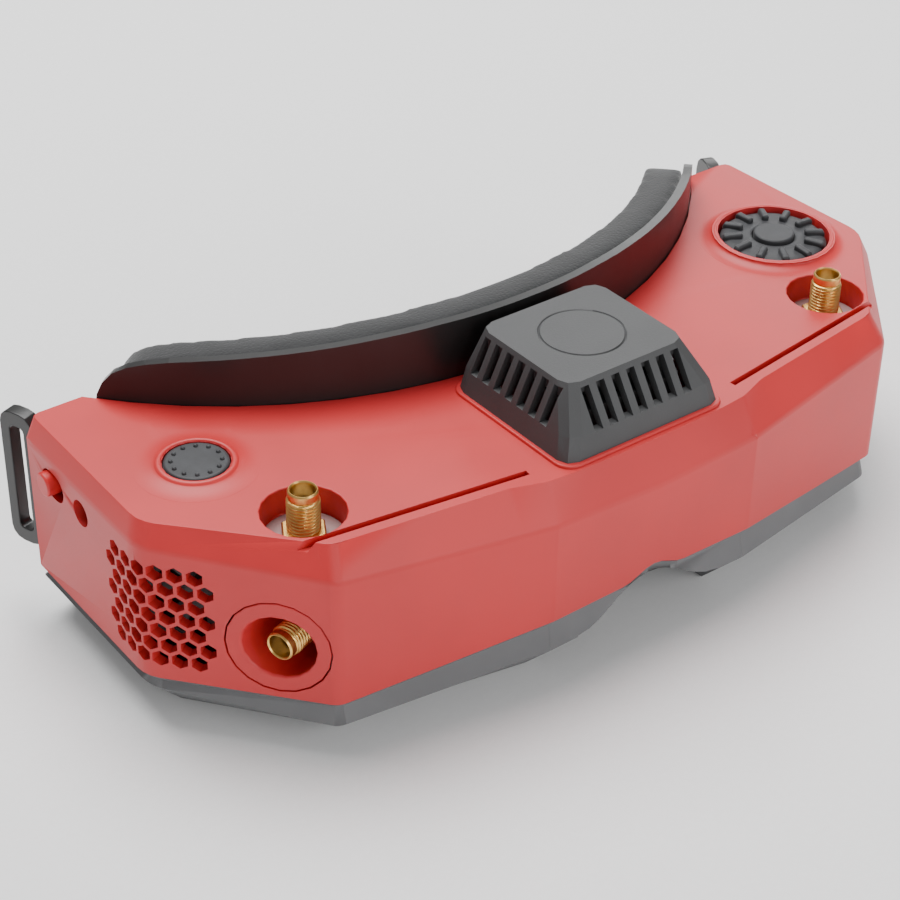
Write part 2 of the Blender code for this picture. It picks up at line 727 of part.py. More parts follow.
def build_cover_screws(steel):
    for side_name, side in SIDES.items():
        for place, (x, y) in zip(("front", "rear"), SCREW_PLACES):
            bm = bmesh.new()
            head = 1.6 * MM
            outer = circle(SCREW_HEAD, 12)
            socket = hexagon(1.5 * MM, 12)
            deep = [level(outer, 0.0), level(outer, head)]
            shank = [level(circle(SCREW_SHANK, 12), head), level(circle(SCREW_SHANK, 12), 7.0 * MM)]
            add_loft(bm, [level(socket, 0.9 * MM), level(socket, 0.0)] + deep + shank)
            make_object("cover_screw_%s_%s" % (place, side_name), bm, steel,
                        (side * x, y, -BASE_DROP + 2.0 * MM - GAP - head))


# ---- face frame and pad --------------------------------------------------------------------
def frame_outline():
    """Right half of the face frame along its outer arc, from the brow round to the nose."""
    end = FRAME_HALF
    return [Vector((x, z)) for x, z in (
        (0.0, FRAME_TOP), (20.0 * MM, FRAME_TOP - 0.2 * MM), (32.0 * MM, FRAME_TOP - 0.7 * MM),
        (43.0 * MM, FRAME_TOP - 1.4 * MM), (53.0 * MM, FRAME_TOP - 2.1 * MM),
        (62.0 * MM, FRAME_TOP - 2.9 * MM), (67.0 * MM, FRAME_TOP - 3.5 * MM),
        (70.4 * MM, FRAME_TOP - 4.3 * MM), (73.0 * MM, FRAME_TOP - 5.4 * MM),
        (75.0 * MM, FRAME_TOP - 7.0 * MM), (76.4 * MM, FRAME_TOP - 9.4 * MM),
        (77.2 * MM, FRAME_TOP - 12.1 * MM), (end, -3.0 * MM),
        (end, -24.0 * MM), (end - 2.6 * MM, -34.0 * MM),
        (end - 9.0 * MM, -41.0 * MM), (end - 20.0 * MM, -45.0 * MM),
        (48.0 * MM, -BASE_DROP), (26.0 * MM, -BASE_DROP),
        (18.0 * MM, -42.5 * MM), (13.0 * MM, -36.0 * MM), (8.5 * MM, -30.0 * MM),
        (4.0 * MM, -27.3 * MM), (0.0, -26.6 * MM))]


def window_outline():
    """Right half of the opening that both eyes look through."""
    return [Vector((x, z)) for x, z in (
        (0.0, -3.0 * MM), (24.0 * MM, -2.6 * MM), (44.0 * MM, -2.6 * MM), (56.0 * MM, -4.4 * MM),
        (63.5 * MM, -9.0 * MM), (66.5 * MM, -16.0 * MM), (64.5 * MM, -25.0 * MM),
        (58.0 * MM, -34.0 * MM), (47.0 * MM, -38.6 * MM), (31.0 * MM, -39.0 * MM),
        (22.0 * MM, -37.0 * MM), (16.5 * MM, -33.0 * MM), (12.5 * MM, -27.0 * MM),
        (11.0 * MM, -20.5 * MM), (6.5 * MM, -16.5 * MM), (0.0, -15.0 * MM))]


def mirrored(half):
    """Close a half outline whose ends are on the middle line, counter-clockwise."""
    points = half + [Vector((-p.x, p.y)) for p in reversed(half[1:-1])]
    return list(reversed(points))


def radial_cutter(points):
    """A cutter whose walls point at the face's centre line, from an outline along the outer arc."""
    bm = bmesh.new()
    rings = []
    for depth in (40.0 * MM, -95.0 * MM):
        ring = []
        for point in points:
            swing = math.asin(point.x / FACE_RADIUS)
            ring.append(((FACE_CENTRE - depth) * math.tan(swing), depth, point.y))
        rings.append(ring)
    add_loft(bm, list(reversed(rings)))
    return bm


def curved_plate(name, material, outer, inner, outline, window):
    """A plate bent round the face, trimmed to an outline and opened by a window."""
    bm = bmesh.new()
    reach = max(point.x for point in outline) + 2.0 * MM
    swing = math.asin(reach / FACE_RADIUS)
    rings = []
    for i in range(PLATE_STEPS + 1):
        angle = swing * (2.0 * i / PLATE_STEPS - 1.0)
        corners = []
        for radius, z in ((outer, -60.0 * MM), (inner, -60.0 * MM), (inner, 30.0 * MM),
                          (outer, 30.0 * MM)):
            corners.append((radius * math.sin(angle), FACE_CENTRE - radius * math.cos(angle), z))
        rings.append(corners)
    add_loft(bm, rings)
    plate = make_object(name, bm, material)
    for points, operation in ((outline, "INTERSECT"), (window, "DIFFERENCE")):
        combine(plate, radial_cutter(points), "%s_%s" % (name, operation.lower()), operation)
    return plate


def build_face(plastic, foam):
    outline = mirrored(frame_outline())
    window = mirrored(window_outline())
    pad_outline = inset(outline, [PAD_INSET] * len(outline))
    pad_window = inset(window, [-PAD_INSET] * len(window))
    inner = FACE_RADIUS - FRAME_WALL
    curved_plate("face_frame", plastic, FACE_RADIUS, inner, outline, window)
    curved_plate("face_pad", foam, inner - GAP, inner - GAP - PAD_DEPTH, pad_outline, pad_window)


# ---- fan cover -----------------------------------------------------------------------------
def fan_centre_y():
    return -(COVER_FRONT + COVER_BACK) / 2.0


def cover_section(half, front, back, shrink, radius):
    return rectangle(-half + shrink, half - shrink, -front + shrink, -back - shrink,
                     max(radius - shrink, 0.5 * MM), 2)


def fan_cover_solid(shrink, low, high):
    bm = bmesh.new()
    skirt = cover_section(COVER_HALF, COVER_FRONT, COVER_BACK, shrink, COVER_ROUND)
    kink = cover_section(COVER_HALF - COVER_DRAFT, COVER_FRONT - COVER_DRAFT,
                         COVER_BACK + COVER_DRAFT / 3.0, shrink, COVER_ROUND)
    top = cover_section(COVER_TOP_HALF, COVER_TOP_FRONT, COVER_TOP_BACK, shrink, COVER_ROUND)
    add_loft(bm, [level(skirt, low), level(kink, COVER_KINK - shrink * 0.4), level(top, high)])
    return bm


def build_fan_cover(plastic):
    cover = make_object("fan_cover", fan_cover_solid(0.0, GAP, COVER_HEIGHT), plastic)
    combine(cover, fan_cover_solid(COVER_WALL, -2.0 * MM, COVER_HEIGHT - COVER_WALL),
            "fan_cover_hollow", "DIFFERENCE")
    bm = bmesh.new()
    half = 1.0 * MM
    for i in range(7):
        x = (i - 3.0) * 3.7 * MM
        add_box(bm, (x - half, -COVER_FRONT - 2.0 * MM, SLOT_LOW),
                (x + half, -COVER_TOP_FRONT + 0.4 * MM, SLOT_HIGH))
        add_box(bm, (x - half, -COVER_TOP_BACK - 2.0 * MM, SLOT_LOW),
                (x + half, -COVER_BACK + 2.0 * MM, SLOT_HIGH))
        y = fan_centre_y() + (i - 3.0) * 3.5 * MM + 2.0 * MM
        for side in SIDES.values():
            near = side * (COVER_TOP_HALF - 0.4 * MM)
            far = side * (COVER_HALF + 2.0 * MM)
            add_box(bm, (min(near, far), y - half, SLOT_LOW), (max(near, far), y + half, SLOT_HIGH))
    combine(cover, bm, "fan_cover_slots", "DIFFERENCE")


# ---- fans ----------------------------------------------------------------------------------
def build_fan(name, size, depth, blades, frame, plastic, dark):
    """A square axial fan; the frame's Z axis is the fan's axis and its base is at height 0."""
    plate = 1.0 * MM
    bore = size / 2.0 - 0.9 * MM
    hub = size * 0.19
    bm = bmesh.new()
    add_prism(bm, rectangle(-size / 2.0, size / 2.0, -size / 2.0, size / 2.0, 1.5 * MM, 2),
              0.0, depth)
    body = make_object(name + "_frame", bm, plastic, frame.translation, frame.to_3x3())
    bm = bmesh.new()
    add_cylinder(bm, bore, plate, depth + MM, sides=20)
    for i in range(3):
        gap = 0.16
        start = 2.0 * math.pi * i / 3.0 + gap
        sweep = 2.0 * math.pi / 3.0 - 2.0 * gap
        steps = 4
        arc = [start + sweep * k / steps for k in range(steps + 1)]
        outer = [Vector((bore * math.cos(a), bore * math.sin(a))) * 0.98 for a in arc]
        inner = [Vector((math.cos(a), math.sin(a))) * (hub + 0.5 * MM) for a in reversed(arc)]
        add_prism(bm, outer + inner, -MM, plate * 0.999)
    tool = combine(body, bm, name + "_bore", "DIFFERENCE")
    tool.location = frame.translation
    tool.rotation_euler = frame.to_3x3().to_euler()

    bm = bmesh.new()
    base = plate + RUN
    top = depth - 0.4 * MM
    add_turned(bm, ((hub, base), (hub, top - 0.4 * MM), (hub - 0.4 * MM, top)), 16)
    rotor = make_object(name + "_rotor", bm, dark, frame.translation, frame.to_3x3())
    bm = bmesh.new()
    for i in range(blades):
        turn = Matrix.Rotation(2.0 * math.pi * i / blades, 4, "Z")
        rings = []
        for share in (0.0, 1.0):
            radius = hub - 0.5 * MM + (bore - RUN - hub + 0.2 * MM) * share
            pitch = math.radians(48.0 - 14.0 * share)
            chord = size * (0.055 + 0.055 * share)
            thick = 0.35 * MM
            middle = (base + top) / 2.0
            corners = []
            for u, w in ((-1.0, -1.0), (1.0, -1.0), (1.0, 1.0), (-1.0, 1.0)):
                across = u * chord * math.cos(pitch) - w * thick * math.sin(pitch)
                rise = u * chord * math.sin(pitch) * 0.8 + w * thick * math.cos(pitch)
                corners.append((radius, across, middle + rise))
            rings.append(corners)
        add_loft(bm, rings, turn)
    tool = combine(rotor, bm, name + "_blades", "UNION")
    tool.location = frame.translation
    tool.rotation_euler = frame.to_3x3().to_euler()


def build_fans(plastic, dark):
    top = Matrix.Translation((0.0, fan_centre_y(), GAP))
    build_fan("top_fan", TOP_FAN, TOP_FAN_DEPTH, 7, top, plastic, dark)
    for name, side in SIDES.items():
        frame = wall_frame(side, SIDE_FAN_S, SIDE_FAN_DROP, SIDE_FAN_INSET + SIDE_FAN_DEPTH)
        build_fan("side_fan_" + name, SIDE_FAN, SIDE_FAN_DEPTH, 7, frame, plastic, dark)


# ---- antenna jacks -------------------------------------------------------------------------
def build_jack(name, frame, brass, white):
    """A threaded coaxial jack; height 0 is the top of its hexagon."""
    sides = 12
    thread = circle(THREAD_RADIUS, sides)
    chamfer = circle(THREAD_RADIUS - 0.35 * MM, sides)
    bore = circle(BORE_RADIUS, sides)
    hexagonal = hexagon(HEX_WIDTH, sides)
    tail = circle(TAIL_RADIUS, sides)
    bm = bmesh.new()
    add_loft(bm, [level(tail, -HEX_DEPTH - TAIL_LENGTH), level(tail, -HEX_DEPTH),
                  level(hexagonal, -HEX_DEPTH), level(hexagonal, 0.0), level(thread, 0.0),
                  level(thread, THREAD_LENGTH - 0.35 * MM), level(chamfer, THREAD_LENGTH),
                  level(bore, THREAD_LENGTH), level(bore, THREAD_LENGTH - BORE_DEPTH)])
    make_object(name, bm, brass, frame.translation, frame.to_3x3())
    bm = bmesh.new()
    core = BORE_RADIUS - GAP
    low = THREAD_LENGTH - BORE_DEPTH + GAP
    high = THREAD_LENGTH - CORE_SINK
    pin = 0.55 * MM
    add_turned(bm, ((core, low), (core, high), (pin, high), (pin, low + MM)), 10)
    make_object(name.replace("jack", "insulator"), bm, white, frame.translation, frame.to_3x3())


def side_jack_frame(side):
    """Frame of a side jack: it leans from the wall's normal towards the side."""
    wall = wall_frame(side, CUP_S, CUP_DROP)
    lean = Matrix.Rotation(SIDE_JACK_LEAN, 4, "Y")
    reach = THREAD_LENGTH + SIDE_JACK_SINK / math.cos(SIDE_JACK_LEAN)
    return wall @ lean @ Matrix.Translation((0.0, 0.0, -reach))


def build_jacks(brass, white, paint):
    for name, side in SIDES.items():
        base = TOP_JACK_TIP - THREAD_LENGTH
        top = Matrix.Translation((side * TOP_JACK_X, -TOP_JACK_Y, base))
        build_jack("top_antenna_jack_" + name, top, brass, white)
        frame = side_jack_frame(side)
        build_jack("side_antenna_jack_" + name, frame, brass, white)
        build_cup(name, side, frame, paint)


def build_cup(name, side, jack, paint):
    """The round seat of a side jack: a flush flange and a well that leans with the jack."""
    wall = wall_frame(side, CUP_S, CUP_DROP)
    bm = bmesh.new()
    add_cylinder(bm, CUP_RADIUS - GAP, -CUP_FLANGE, 0.0, sides=20)
    cup = make_object("antenna_cup_" + name, bm, paint, wall.translation, wall.to_3x3())
    floor = -HEX_DEPTH - GAP
    mouth = 16.0 * MM
    bm = bmesh.new()
    add_cylinder(bm, CUP_BORE + CUP_SHELL, floor - 1.6 * MM, mouth, sides=18)
    well = combine(cup, bm, "cup_well_" + name, "UNION")
    well.location = jack.translation
    well.rotation_euler = jack.to_3x3().to_euler()
    bm = bmesh.new()
    add_box(bm, (-20.0 * MM, -20.0 * MM, 0.0), (20.0 * MM, 20.0 * MM, 20.0 * MM))
    face = combine(well, bm, "cup_face_" + name, "DIFFERENCE")
    face.location = wall.translation
    face.rotation_euler = wall.to_3x3().to_euler()
    bm = bmesh.new()
    tail = TAIL_RADIUS + GAP
    add_turned(bm, ((tail, floor - 4.0 * MM), (tail, floor), (CUP_BORE, floor), (CUP_BORE, mouth)), 18)
    bore = combine(cup, bm, "cup_bore_" + name, "DIFFERENCE")
    bore.location = jack.translation
    bore.rotation_euler = jack.to_3x3().to_euler()


# ---- dial, record button and power slide ---------------------------------------------------
def build_dial(rubber, dark, green):
    place = (CONTROL_X, -CONTROL_Y, 0.0)
    bm = bmesh.new()
    hole = DIAL_CAP_RADIUS + RUN
    bottom = -2.6 * MM
    top = DIAL_TOP - 0.7 * MM
    add_turned(bm, ((DIAL_RADIUS, bottom), (DIAL_RADIUS, top - 0.4 * MM), (DIAL_RADIUS - 0.8 * MM, top),
                    (hole + 0.6 * MM, top), (hole, top - 0.5 * MM), (hole, bottom)), 24, closed=True)
    dial = make_object("menu_dial", bm, rubber, place)
    bm = bmesh.new()
    for i in range(DIAL_RIBS):
        turn = Matrix.Rotation(2.0 * math.pi * i / DIAL_RIBS, 4, "Z")
        add_box(bm, (hole + 1.0 * MM, -0.7 * MM, top - 0.8 * MM),
                (DIAL_RADIUS - 0.3 * MM, 0.7 * MM, DIAL_TOP), turn)
    ribs = combine(dial, bm, "dial_ribs", "UNION")
    ribs.location = place

    bm = bmesh.new()
    cap_bottom = -1.4 * MM
    stem = 1.6 * MM
    add_turned(bm, ((stem, -3.4 * MM), (stem, cap_bottom), (DIAL_CAP_RADIUS, cap_bottom),
                    (DIAL_CAP_RADIUS, DIAL_TOP - 0.3 * MM), (DIAL_CAP_RADIUS - 0.6 * MM, DIAL_TOP)), 18)
    make_object("dial_button", bm, rubber, place)

    bm = bmesh.new()
    shelf = -3.4 * MM - PRESS_ROOM
    add_turned(bm, ((11.0 * MM, shelf - 3.0 * MM), (11.0 * MM, shelf - 1.8 * MM),
                    (6.0 * MM, shelf - 1.8 * MM), (6.0 * MM, shelf)), 16)
    make_object("dial_encoder", bm, green, place)


def build_record_button(rubber, green):
    place = (-CONTROL_X, -CONTROL_Y, 0.0)
    bm = bmesh.new()
    stem = 1.5 * MM
    add_turned(bm, ((stem, -3.0 * MM), (stem, -1.4 * MM), (RECORD_RADIUS, -1.4 * MM),
                    (RECORD_RADIUS, RECORD_TOP - 0.5 * MM), (RECORD_RADIUS - 0.5 * MM, RECORD_TOP)), 20)
    button = make_object("record_button", bm, rubber, place)
    bm = bmesh.new()
    for i in range(RECORD_DIMPLES):
        angle = 2.0 * math.pi * i / RECORD_DIMPLES
        reach = RECORD_RADIUS - 1.5 * MM
        add_cylinder(bm, 0.5 * MM, RECORD_TOP - 0.4 * MM, RECORD_TOP + MM,
                     (reach * math.cos(angle), reach * math.sin(angle)), 4)
    dimples = combine(button, bm, "record_dimples", "DIFFERENCE")
    dimples.location = place
    bm = bmesh.new()
    shelf = -3.0 * MM - PRESS_ROOM
    add_turned(bm, ((7.0 * MM, shelf - 3.0 * MM), (7.0 * MM, shelf - 1.8 * MM),
                    (3.0 * MM, shelf - 1.8 * MM), (3.0 * MM, shelf)), 14)
    make_object("record_switch", bm, green, place)


def build_power_slide(red, dark):
    frame = side_frame(-1.0, SLIDE_Y, SLIDE_DROP)
    bm = bmesh.new()
    stem = 1.2 * MM
    back = -WALL - 1.4 * MM
    add_turned(bm, ((stem, back), (stem, -1.6 * MM), (SLIDE_RADIUS, -1.6 * MM),
                    (SLIDE_RADIUS, SLIDE_PROUD - 0.3 * MM), (SLIDE_RADIUS - 0.3 * MM, SLIDE_PROUD)), 16)
    make_object("power_slider", bm, red, frame.translation, frame.to_3x3())
    bm = bmesh.new()
    low = back - 5.0 * MM
    high = -WALL - GAP
    middle = -SLIDE_TRAVEL / 2.0
    add_box(bm, (middle - 5.0 * MM, -4.0 * MM, low), (middle + 5.0 * MM, 4.0 * MM, high))
    switch = make_object("slide_switch", bm, dark, frame.translation, frame.to_3x3())
    bm = bmesh.new()
    half = SLIDE_TRAVEL / 2.0 + stem + RUN
    add_box(bm, (middle - half, -stem - RUN, back - 0.5 * MM), (middle + half, stem + RUN, high + MM))
    slot = combine(switch, bm, "switch_slot", "DIFFERENCE")
    slot.location = frame.translation
    slot.rotation_euler = frame.to_3x3().to_euler()


# ---- sockets -------------------------------------------------------------------------------
def build_sockets(black, steel):
    frame = side_frame(-1.0, PHONES_Y, SLIDE_DROP)
    back = -WALL - GAP
    bm = bmesh.new()
    add_turned(bm, ((3.6 * MM, back - 11.0 * MM), (3.6 * MM, back), (1.8 * MM, back),
                    (1.8 * MM, back - 9.5 * MM)), 12)
    make_object("headphone_jack", bm, black, frame.translation, frame.to_3x3())

    frame = side_frame(1.0, POWER_Y, PORT_DROP)
    bm = bmesh.new()
    bore = POWER_HOLE - 1.2 * MM
    pin = 1.0 * MM
    add_turned(bm, ((POWER_HOLE + MM, back - 10.0 * MM), (POWER_HOLE + MM, back), (bore, back),
                    (bore, back - 8.0 * MM), (pin, back - 8.0 * MM), (pin, back - MM)), 12)
    make_object("power_jack", bm, black, frame.translation, frame.to_3x3())

    for name, y, half, depth in (("video_port", VIDEO_Y, VIDEO_HALF, 7.0 * MM),
                                 ("card_slot", CARD_Y, CARD_HALF, 9.0 * MM)):
        frame = side_frame(1.0, y, PORT_DROP)
        rim = 0.6 * MM
        outer = rectangle(-half[0] - rim, half[0] + rim, -half[1] - rim, half[1] + rim)
        inner = rectangle(-half[0] + 0.3 * MM, half[0] - 0.3 * MM, -half[1] + 0.3 * MM,
                          half[1] - 0.3 * MM)
        bm = bmesh.new()
        add_loft(bm, [level(outer, back - depth), level(outer, back), level(inner, back),
                      level(inner, back - depth + MM)])
        make_object(name, bm, steel, frame.translation, frame.to_3x3())


# ---- electronics ---------------------------------------------------------------------------
def build_electronics(green, aluminium):
    back = 68.2 * MM
    board = 1.4 * MM
    bm = bmesh.new()
    outline = [Vector((x, z)) for x, z in (
        (-50.0 * MM, -30.0 * MM), (-20.0 * MM, -26.5 * MM), (20.0 * MM, -26.5 * MM),
        (50.0 * MM, -30.0 * MM), (50.0 * MM, -8.0 * MM), (-50.0 * MM, -8.0 * MM))]
    add_loft(bm, [[(p.x, -back - board, p.y) for p in outline],
                  [(p.x, -back, p.y) for p in outline]])
    make_object("main_board", bm, green)

    fins = 6
    pitch = 3.4 * MM
    fin = 1.2 * MM
    base = -back + GAP
    root = base + 1.6 * MM
    tip = -48.0 * MM
    half = ((fins - 1) * pitch + fin) / 2.0
    points = [Vector((-half, base)), Vector((half, base))]
    for i in reversed(range(fins)):
        left = -half + i * pitch
        right = left + fin
        if i < fins - 1:
            points.append(Vector((right, root)))
        points += [Vector((right, tip)), Vector((left, tip))]
        if i > 0:
            points.append(Vector((left, root)))
    bm = bmesh.new()
    add_prism(bm, points, -25.5 * MM, -8.8 * MM)
    make_object("heat_sink", bm, aluminium)


# ---- optics --------------------------------------------------------------------------------
def lengthwise(side, y=0.0):
    """Frame with its Z axis along the depth of the goggles, on one eye's optical axis."""
    frame = Matrix.Rotation(math.radians(-90.0), 4, "X")
    frame.translation = Vector((side * EYE_X, y, -EYE_DROP))
    return frame


def crosswise(x, y, z):
    """Frame with its Z axis along the width of the goggles."""
    frame = Matrix.Rotation(math.radians(90.0), 4, "Y")
    frame.translation = Vector((x, y, z))
    return frame


def build_carrier(name, side, dark):
    place = (side * EYE_X, 0.0, -EYE_DROP)
    half = CARRIER_HALF
    corners = [Vector((-half, -half)), Vector((half, -half)), Vector((half, half)), Vector((-half, half))]
    radii = [CARRIER_ROUND, CARRIER_ROUND, 2.5 * MM, 2.5 * MM]
    outline = rounded(corners, radii, [4, 4, 2, 2])
    bm = bmesh.new()
    add_loft(bm, [[(p.x, -CARRIER_FRONT, p.y) for p in outline],
                  [(p.x, -CARRIER_BACK, p.y) for p in outline]])
    carrier = make_object("optics_carrier_" + name, bm, dark, place)
    bm = bmesh.new()
    foot_low = -half - FOOT_DEPTH
    add_box(bm, (-STEM_RADIUS - 2.5 * MM, -KNOB_Y - STEM_RADIUS - 2.5 * MM, foot_low),
            (STEM_RADIUS + 2.5 * MM, -KNOB_Y + STEM_RADIUS + 2.5 * MM, -half + 0.5 * MM))
    add_box(bm, (-IPD_STEM[0] - MM, -IPD_Y - IPD_STEM[1] - MM, foot_low),
            (IPD_STEM[0] + MM, -IPD_Y + IPD_STEM[1] + MM, -half + 0.5 * MM))
    combine(carrier, bm, "carrier_feet_" + name, "UNION").location = place
    bm = bmesh.new()
    bore_front = -BARREL_FRONT - FOCUS_TRAVEL - 0.5 * MM
    add_cylinder(bm, BARREL_RADIUS + RUN, bore_front, 0.0, sides=20, frame=Matrix.Rotation(
        math.radians(-90.0), 4, "X"))
    combine(carrier, bm, "carrier_bore_" + name, "DIFFERENCE").location = place
    bm = bmesh.new()
    add_box(bm, (-PANEL_HALF[0] - GAP, -CARRIER_FRONT - MM, -PANEL_HALF[1] - GAP),
            (PANEL_HALF[0] + GAP, -CARRIER_FRONT + 3.0 * MM, PANEL_HALF[1] + GAP))
    combine(carrier, bm, "carrier_pocket_" + name, "DIFFERENCE").location = place
    bm = bmesh.new()
    add_box(bm, (-PANEL_HALF[0] + 1.5 * MM, -CARRIER_FRONT + MM, -PANEL_HALF[1] + 1.5 * MM),
            (PANEL_HALF[0] - 1.5 * MM, bore_front + MM, PANEL_HALF[1] - 1.5 * MM))
    for drop in (RAIL_HIGH, RAIL_LOW):
        add_cylinder(bm, RAIL_RADIUS + RUN, -half - MM, half + MM, sides=12,
                     frame=crosswise(0.0, -RAIL_Y, EYE_DROP - drop))
    add_cylinder(bm, STEM_RADIUS + RUN, foot_low - MM, foot_low + 2.2 * MM, (0.0, -KNOB_Y), 12)
    combine(carrier, bm, "carrier_holes_" + name, "DIFFERENCE").location = place


def build_barrel(name, side, dark, glass, screen):
    place = (side * EYE_X, 0.0, -EYE_DROP)
    turned = Matrix.Rotation(math.radians(-90.0), 4, "X")
    inner = BARREL_RADIUS - BARREL_WALL
    lip = inner - 1.0 * MM
    bm = bmesh.new()
    add_turned(bm, ((BARREL_RADIUS, -BARREL_FRONT), (BARREL_RADIUS, -BARREL_BACK),
                    (inner, -BARREL_BACK), (inner, -BARREL_BACK - 7.0 * MM),
                    (lip, -BARREL_BACK - 7.0 * MM), (lip, -BARREL_FRONT)), 20, turned, closed=True)
    make_object("lens_barrel_" + name, bm, dark, place)
    bm = bmesh.new()
    rim = inner - GAP
    seat = -BARREL_BACK - 7.0 * MM + GAP
    bulge = 1.2 * MM
    profile = [(rim * 0.35, seat - 0.0), (rim, seat + bulge), (rim, seat + bulge + 2.0 * MM)]
    profile += [(rim * math.cos(math.radians(a)), seat + bulge + 2.0 * MM + 2.2 * MM
                 * math.sin(math.radians(a))) for a in (35.0, 68.0)]
    add_turned(bm, profile, 20, turned)
    make_object("eye_lens_" + name, bm, glass, place)
    bm = bmesh.new()
    add_box(bm, (-PANEL_HALF[0], -CARRIER_FRONT + 0.4 * MM, -PANEL_HALF[1]),
            (PANEL_HALF[0], -CARRIER_FRONT + 3.0 * MM - GAP, PANEL_HALF[1]))
    make_object("microdisplay_" + name, bm, screen, place)


def build_knobs(name, side, rubber):
    underside = -BASE_DROP + 0.6 * MM
    bm = bmesh.new()
    foot = -EYE_DROP - CARRIER_HALF - FOOT_DEPTH
    stem_top = foot + 2.2 * MM - GAP
    knob = KNOB_RADIUS
    profile = ((knob - 0.5 * MM, underside), (knob, underside + 0.5 * MM),
               (knob, underside + KNOB_DEPTH - GAP), (STEM_RADIUS, underside + KNOB_DEPTH - GAP),
               (STEM_RADIUS, stem_top))
    add_turned(bm, profile, 16)
    focus = make_object("focus_knob_" + name, bm, rubber, (side * EYE_X, -KNOB_Y, 0.0))
    bm = bmesh.new()
    for i in range(KNOB_GRIPS):
        angle = 2.0 * math.pi * i / KNOB_GRIPS
        add_cylinder(bm, 0.6 * MM, underside - MM, underside + KNOB_DEPTH + MM,
                     (knob * math.cos(angle), knob * math.sin(angle)), 4)
    combine(focus, bm, "focus_grip_" + name, "DIFFERENCE").location = (side * EYE_X, -KNOB_Y, 0.0)

    bm = bmesh.new()
    tab = rectangle(-IPD_TAB[0], IPD_TAB[0], -IPD_TAB[1], IPD_TAB[1])
    stem = rectangle(-IPD_STEM[0], IPD_STEM[0], -IPD_STEM[1], IPD_STEM[1])
    thick = KNOB_DEPTH - GAP
    add_loft(bm, [level(tab, underside), level(tab, underside + thick),
                  level(stem, underside + thick), level(stem, foot - GAP)])
    make_object("ipd_slider_" + name, bm, rubber, (side * EYE_X, -IPD_Y, 0.0))


def build_rails(steel, dark):
    bm = bmesh.new()
    add_cylinder(bm, RAIL_RADIUS, -RAIL_END, RAIL_END, sides=16)
    make_object("ipd_rail_upper", bm, steel, (0.0, -RAIL_Y, -RAIL_HIGH), crosswise(0, 0, 0).to_3x3())
    for name, side in SIDES.items():
        bm = bmesh.new()
        near = 26.0 * MM
        add_cylinder(bm, RAIL_RADIUS, min(side * near, side * RAIL_END),
                     max(side * near, side * RAIL_END), sides=16)
        make_object("ipd_rail_lower_" + name, bm, steel, (0.0, -RAIL_Y, -RAIL_LOW),
                    crosswise(0, 0, 0).to_3x3())
        bm = bmesh.new()
        start = EYE_X + EYE_TRAVEL + CARRIER_HALF + 0.6 * MM
        low = -RAIL_LOW - 3.0 * MM
        high = -TOP_WALL - GAP
        add_box(bm, (min(side * start, side * (start + 2.6 * MM)), -RAIL_Y - 3.2 * MM, low),
                (max(side * start, side * (start + 2.6 * MM)), -RAIL_Y + 3.2 * MM, high))
        bracket = make_object("rail_bracket_" + name, bm, dark)
        bm = bmesh.new()
        for drop in (RAIL_HIGH, RAIL_LOW):
            add_cylinder(bm, RAIL_RADIUS + GAP, -4.0 * MM, 4.0 * MM, sides=16,
                         frame=crosswise(side * (start + MM), -RAIL_Y, -drop))
        combine(bracket, bm, "bracket_holes_" + name, "DIFFERENCE")


def build_optics(dark, glass, screen, rubber, steel):
    for name, side in SIDES.items():
        build_carrier(name, side, dark)
        build_barrel(name, side, dark, glass, screen)
        build_knobs(name, side, rubber)
    build_rails(steel, dark)


# ---- strap loops ---------------------------------------------------------------------------
def build_strap_loops(plastic):
    for name, side in SIDES.items():
        splay = LOOP_SPLAY * side
        along_loop = Vector((math.sin(splay), math.cos(splay), 0.0))
        across = Vector((along_loop.y, -along_loop.x, 0.0))
        frame = Matrix((along_loop, Vector((0.0, 0.0, 1.0)), across)).transposed()
        outline = rectangle(GAP + LOOP_THICK * 0.2, LOOP_REACH, -LOOP_DROP, -LOOP_TOP, 3.0 * MM, 3)
        hole = rectangle(GAP + LOOP_THICK * 0.2 + LOOP_BAR, LOOP_REACH - LOOP_BAR,
                         -LOOP_DROP + 3.2 * MM, -LOOP_TOP - 3.2 * MM, MM, 3)
        bm = bmesh.new()
        add_ring(bm, outline, hole, -LOOP_THICK / 2.0, LOOP_THICK / 2.0)
        make_object("strap_loop_" + name, bm, plastic, (side * LOOP_X, GAP, 0.0), frame)


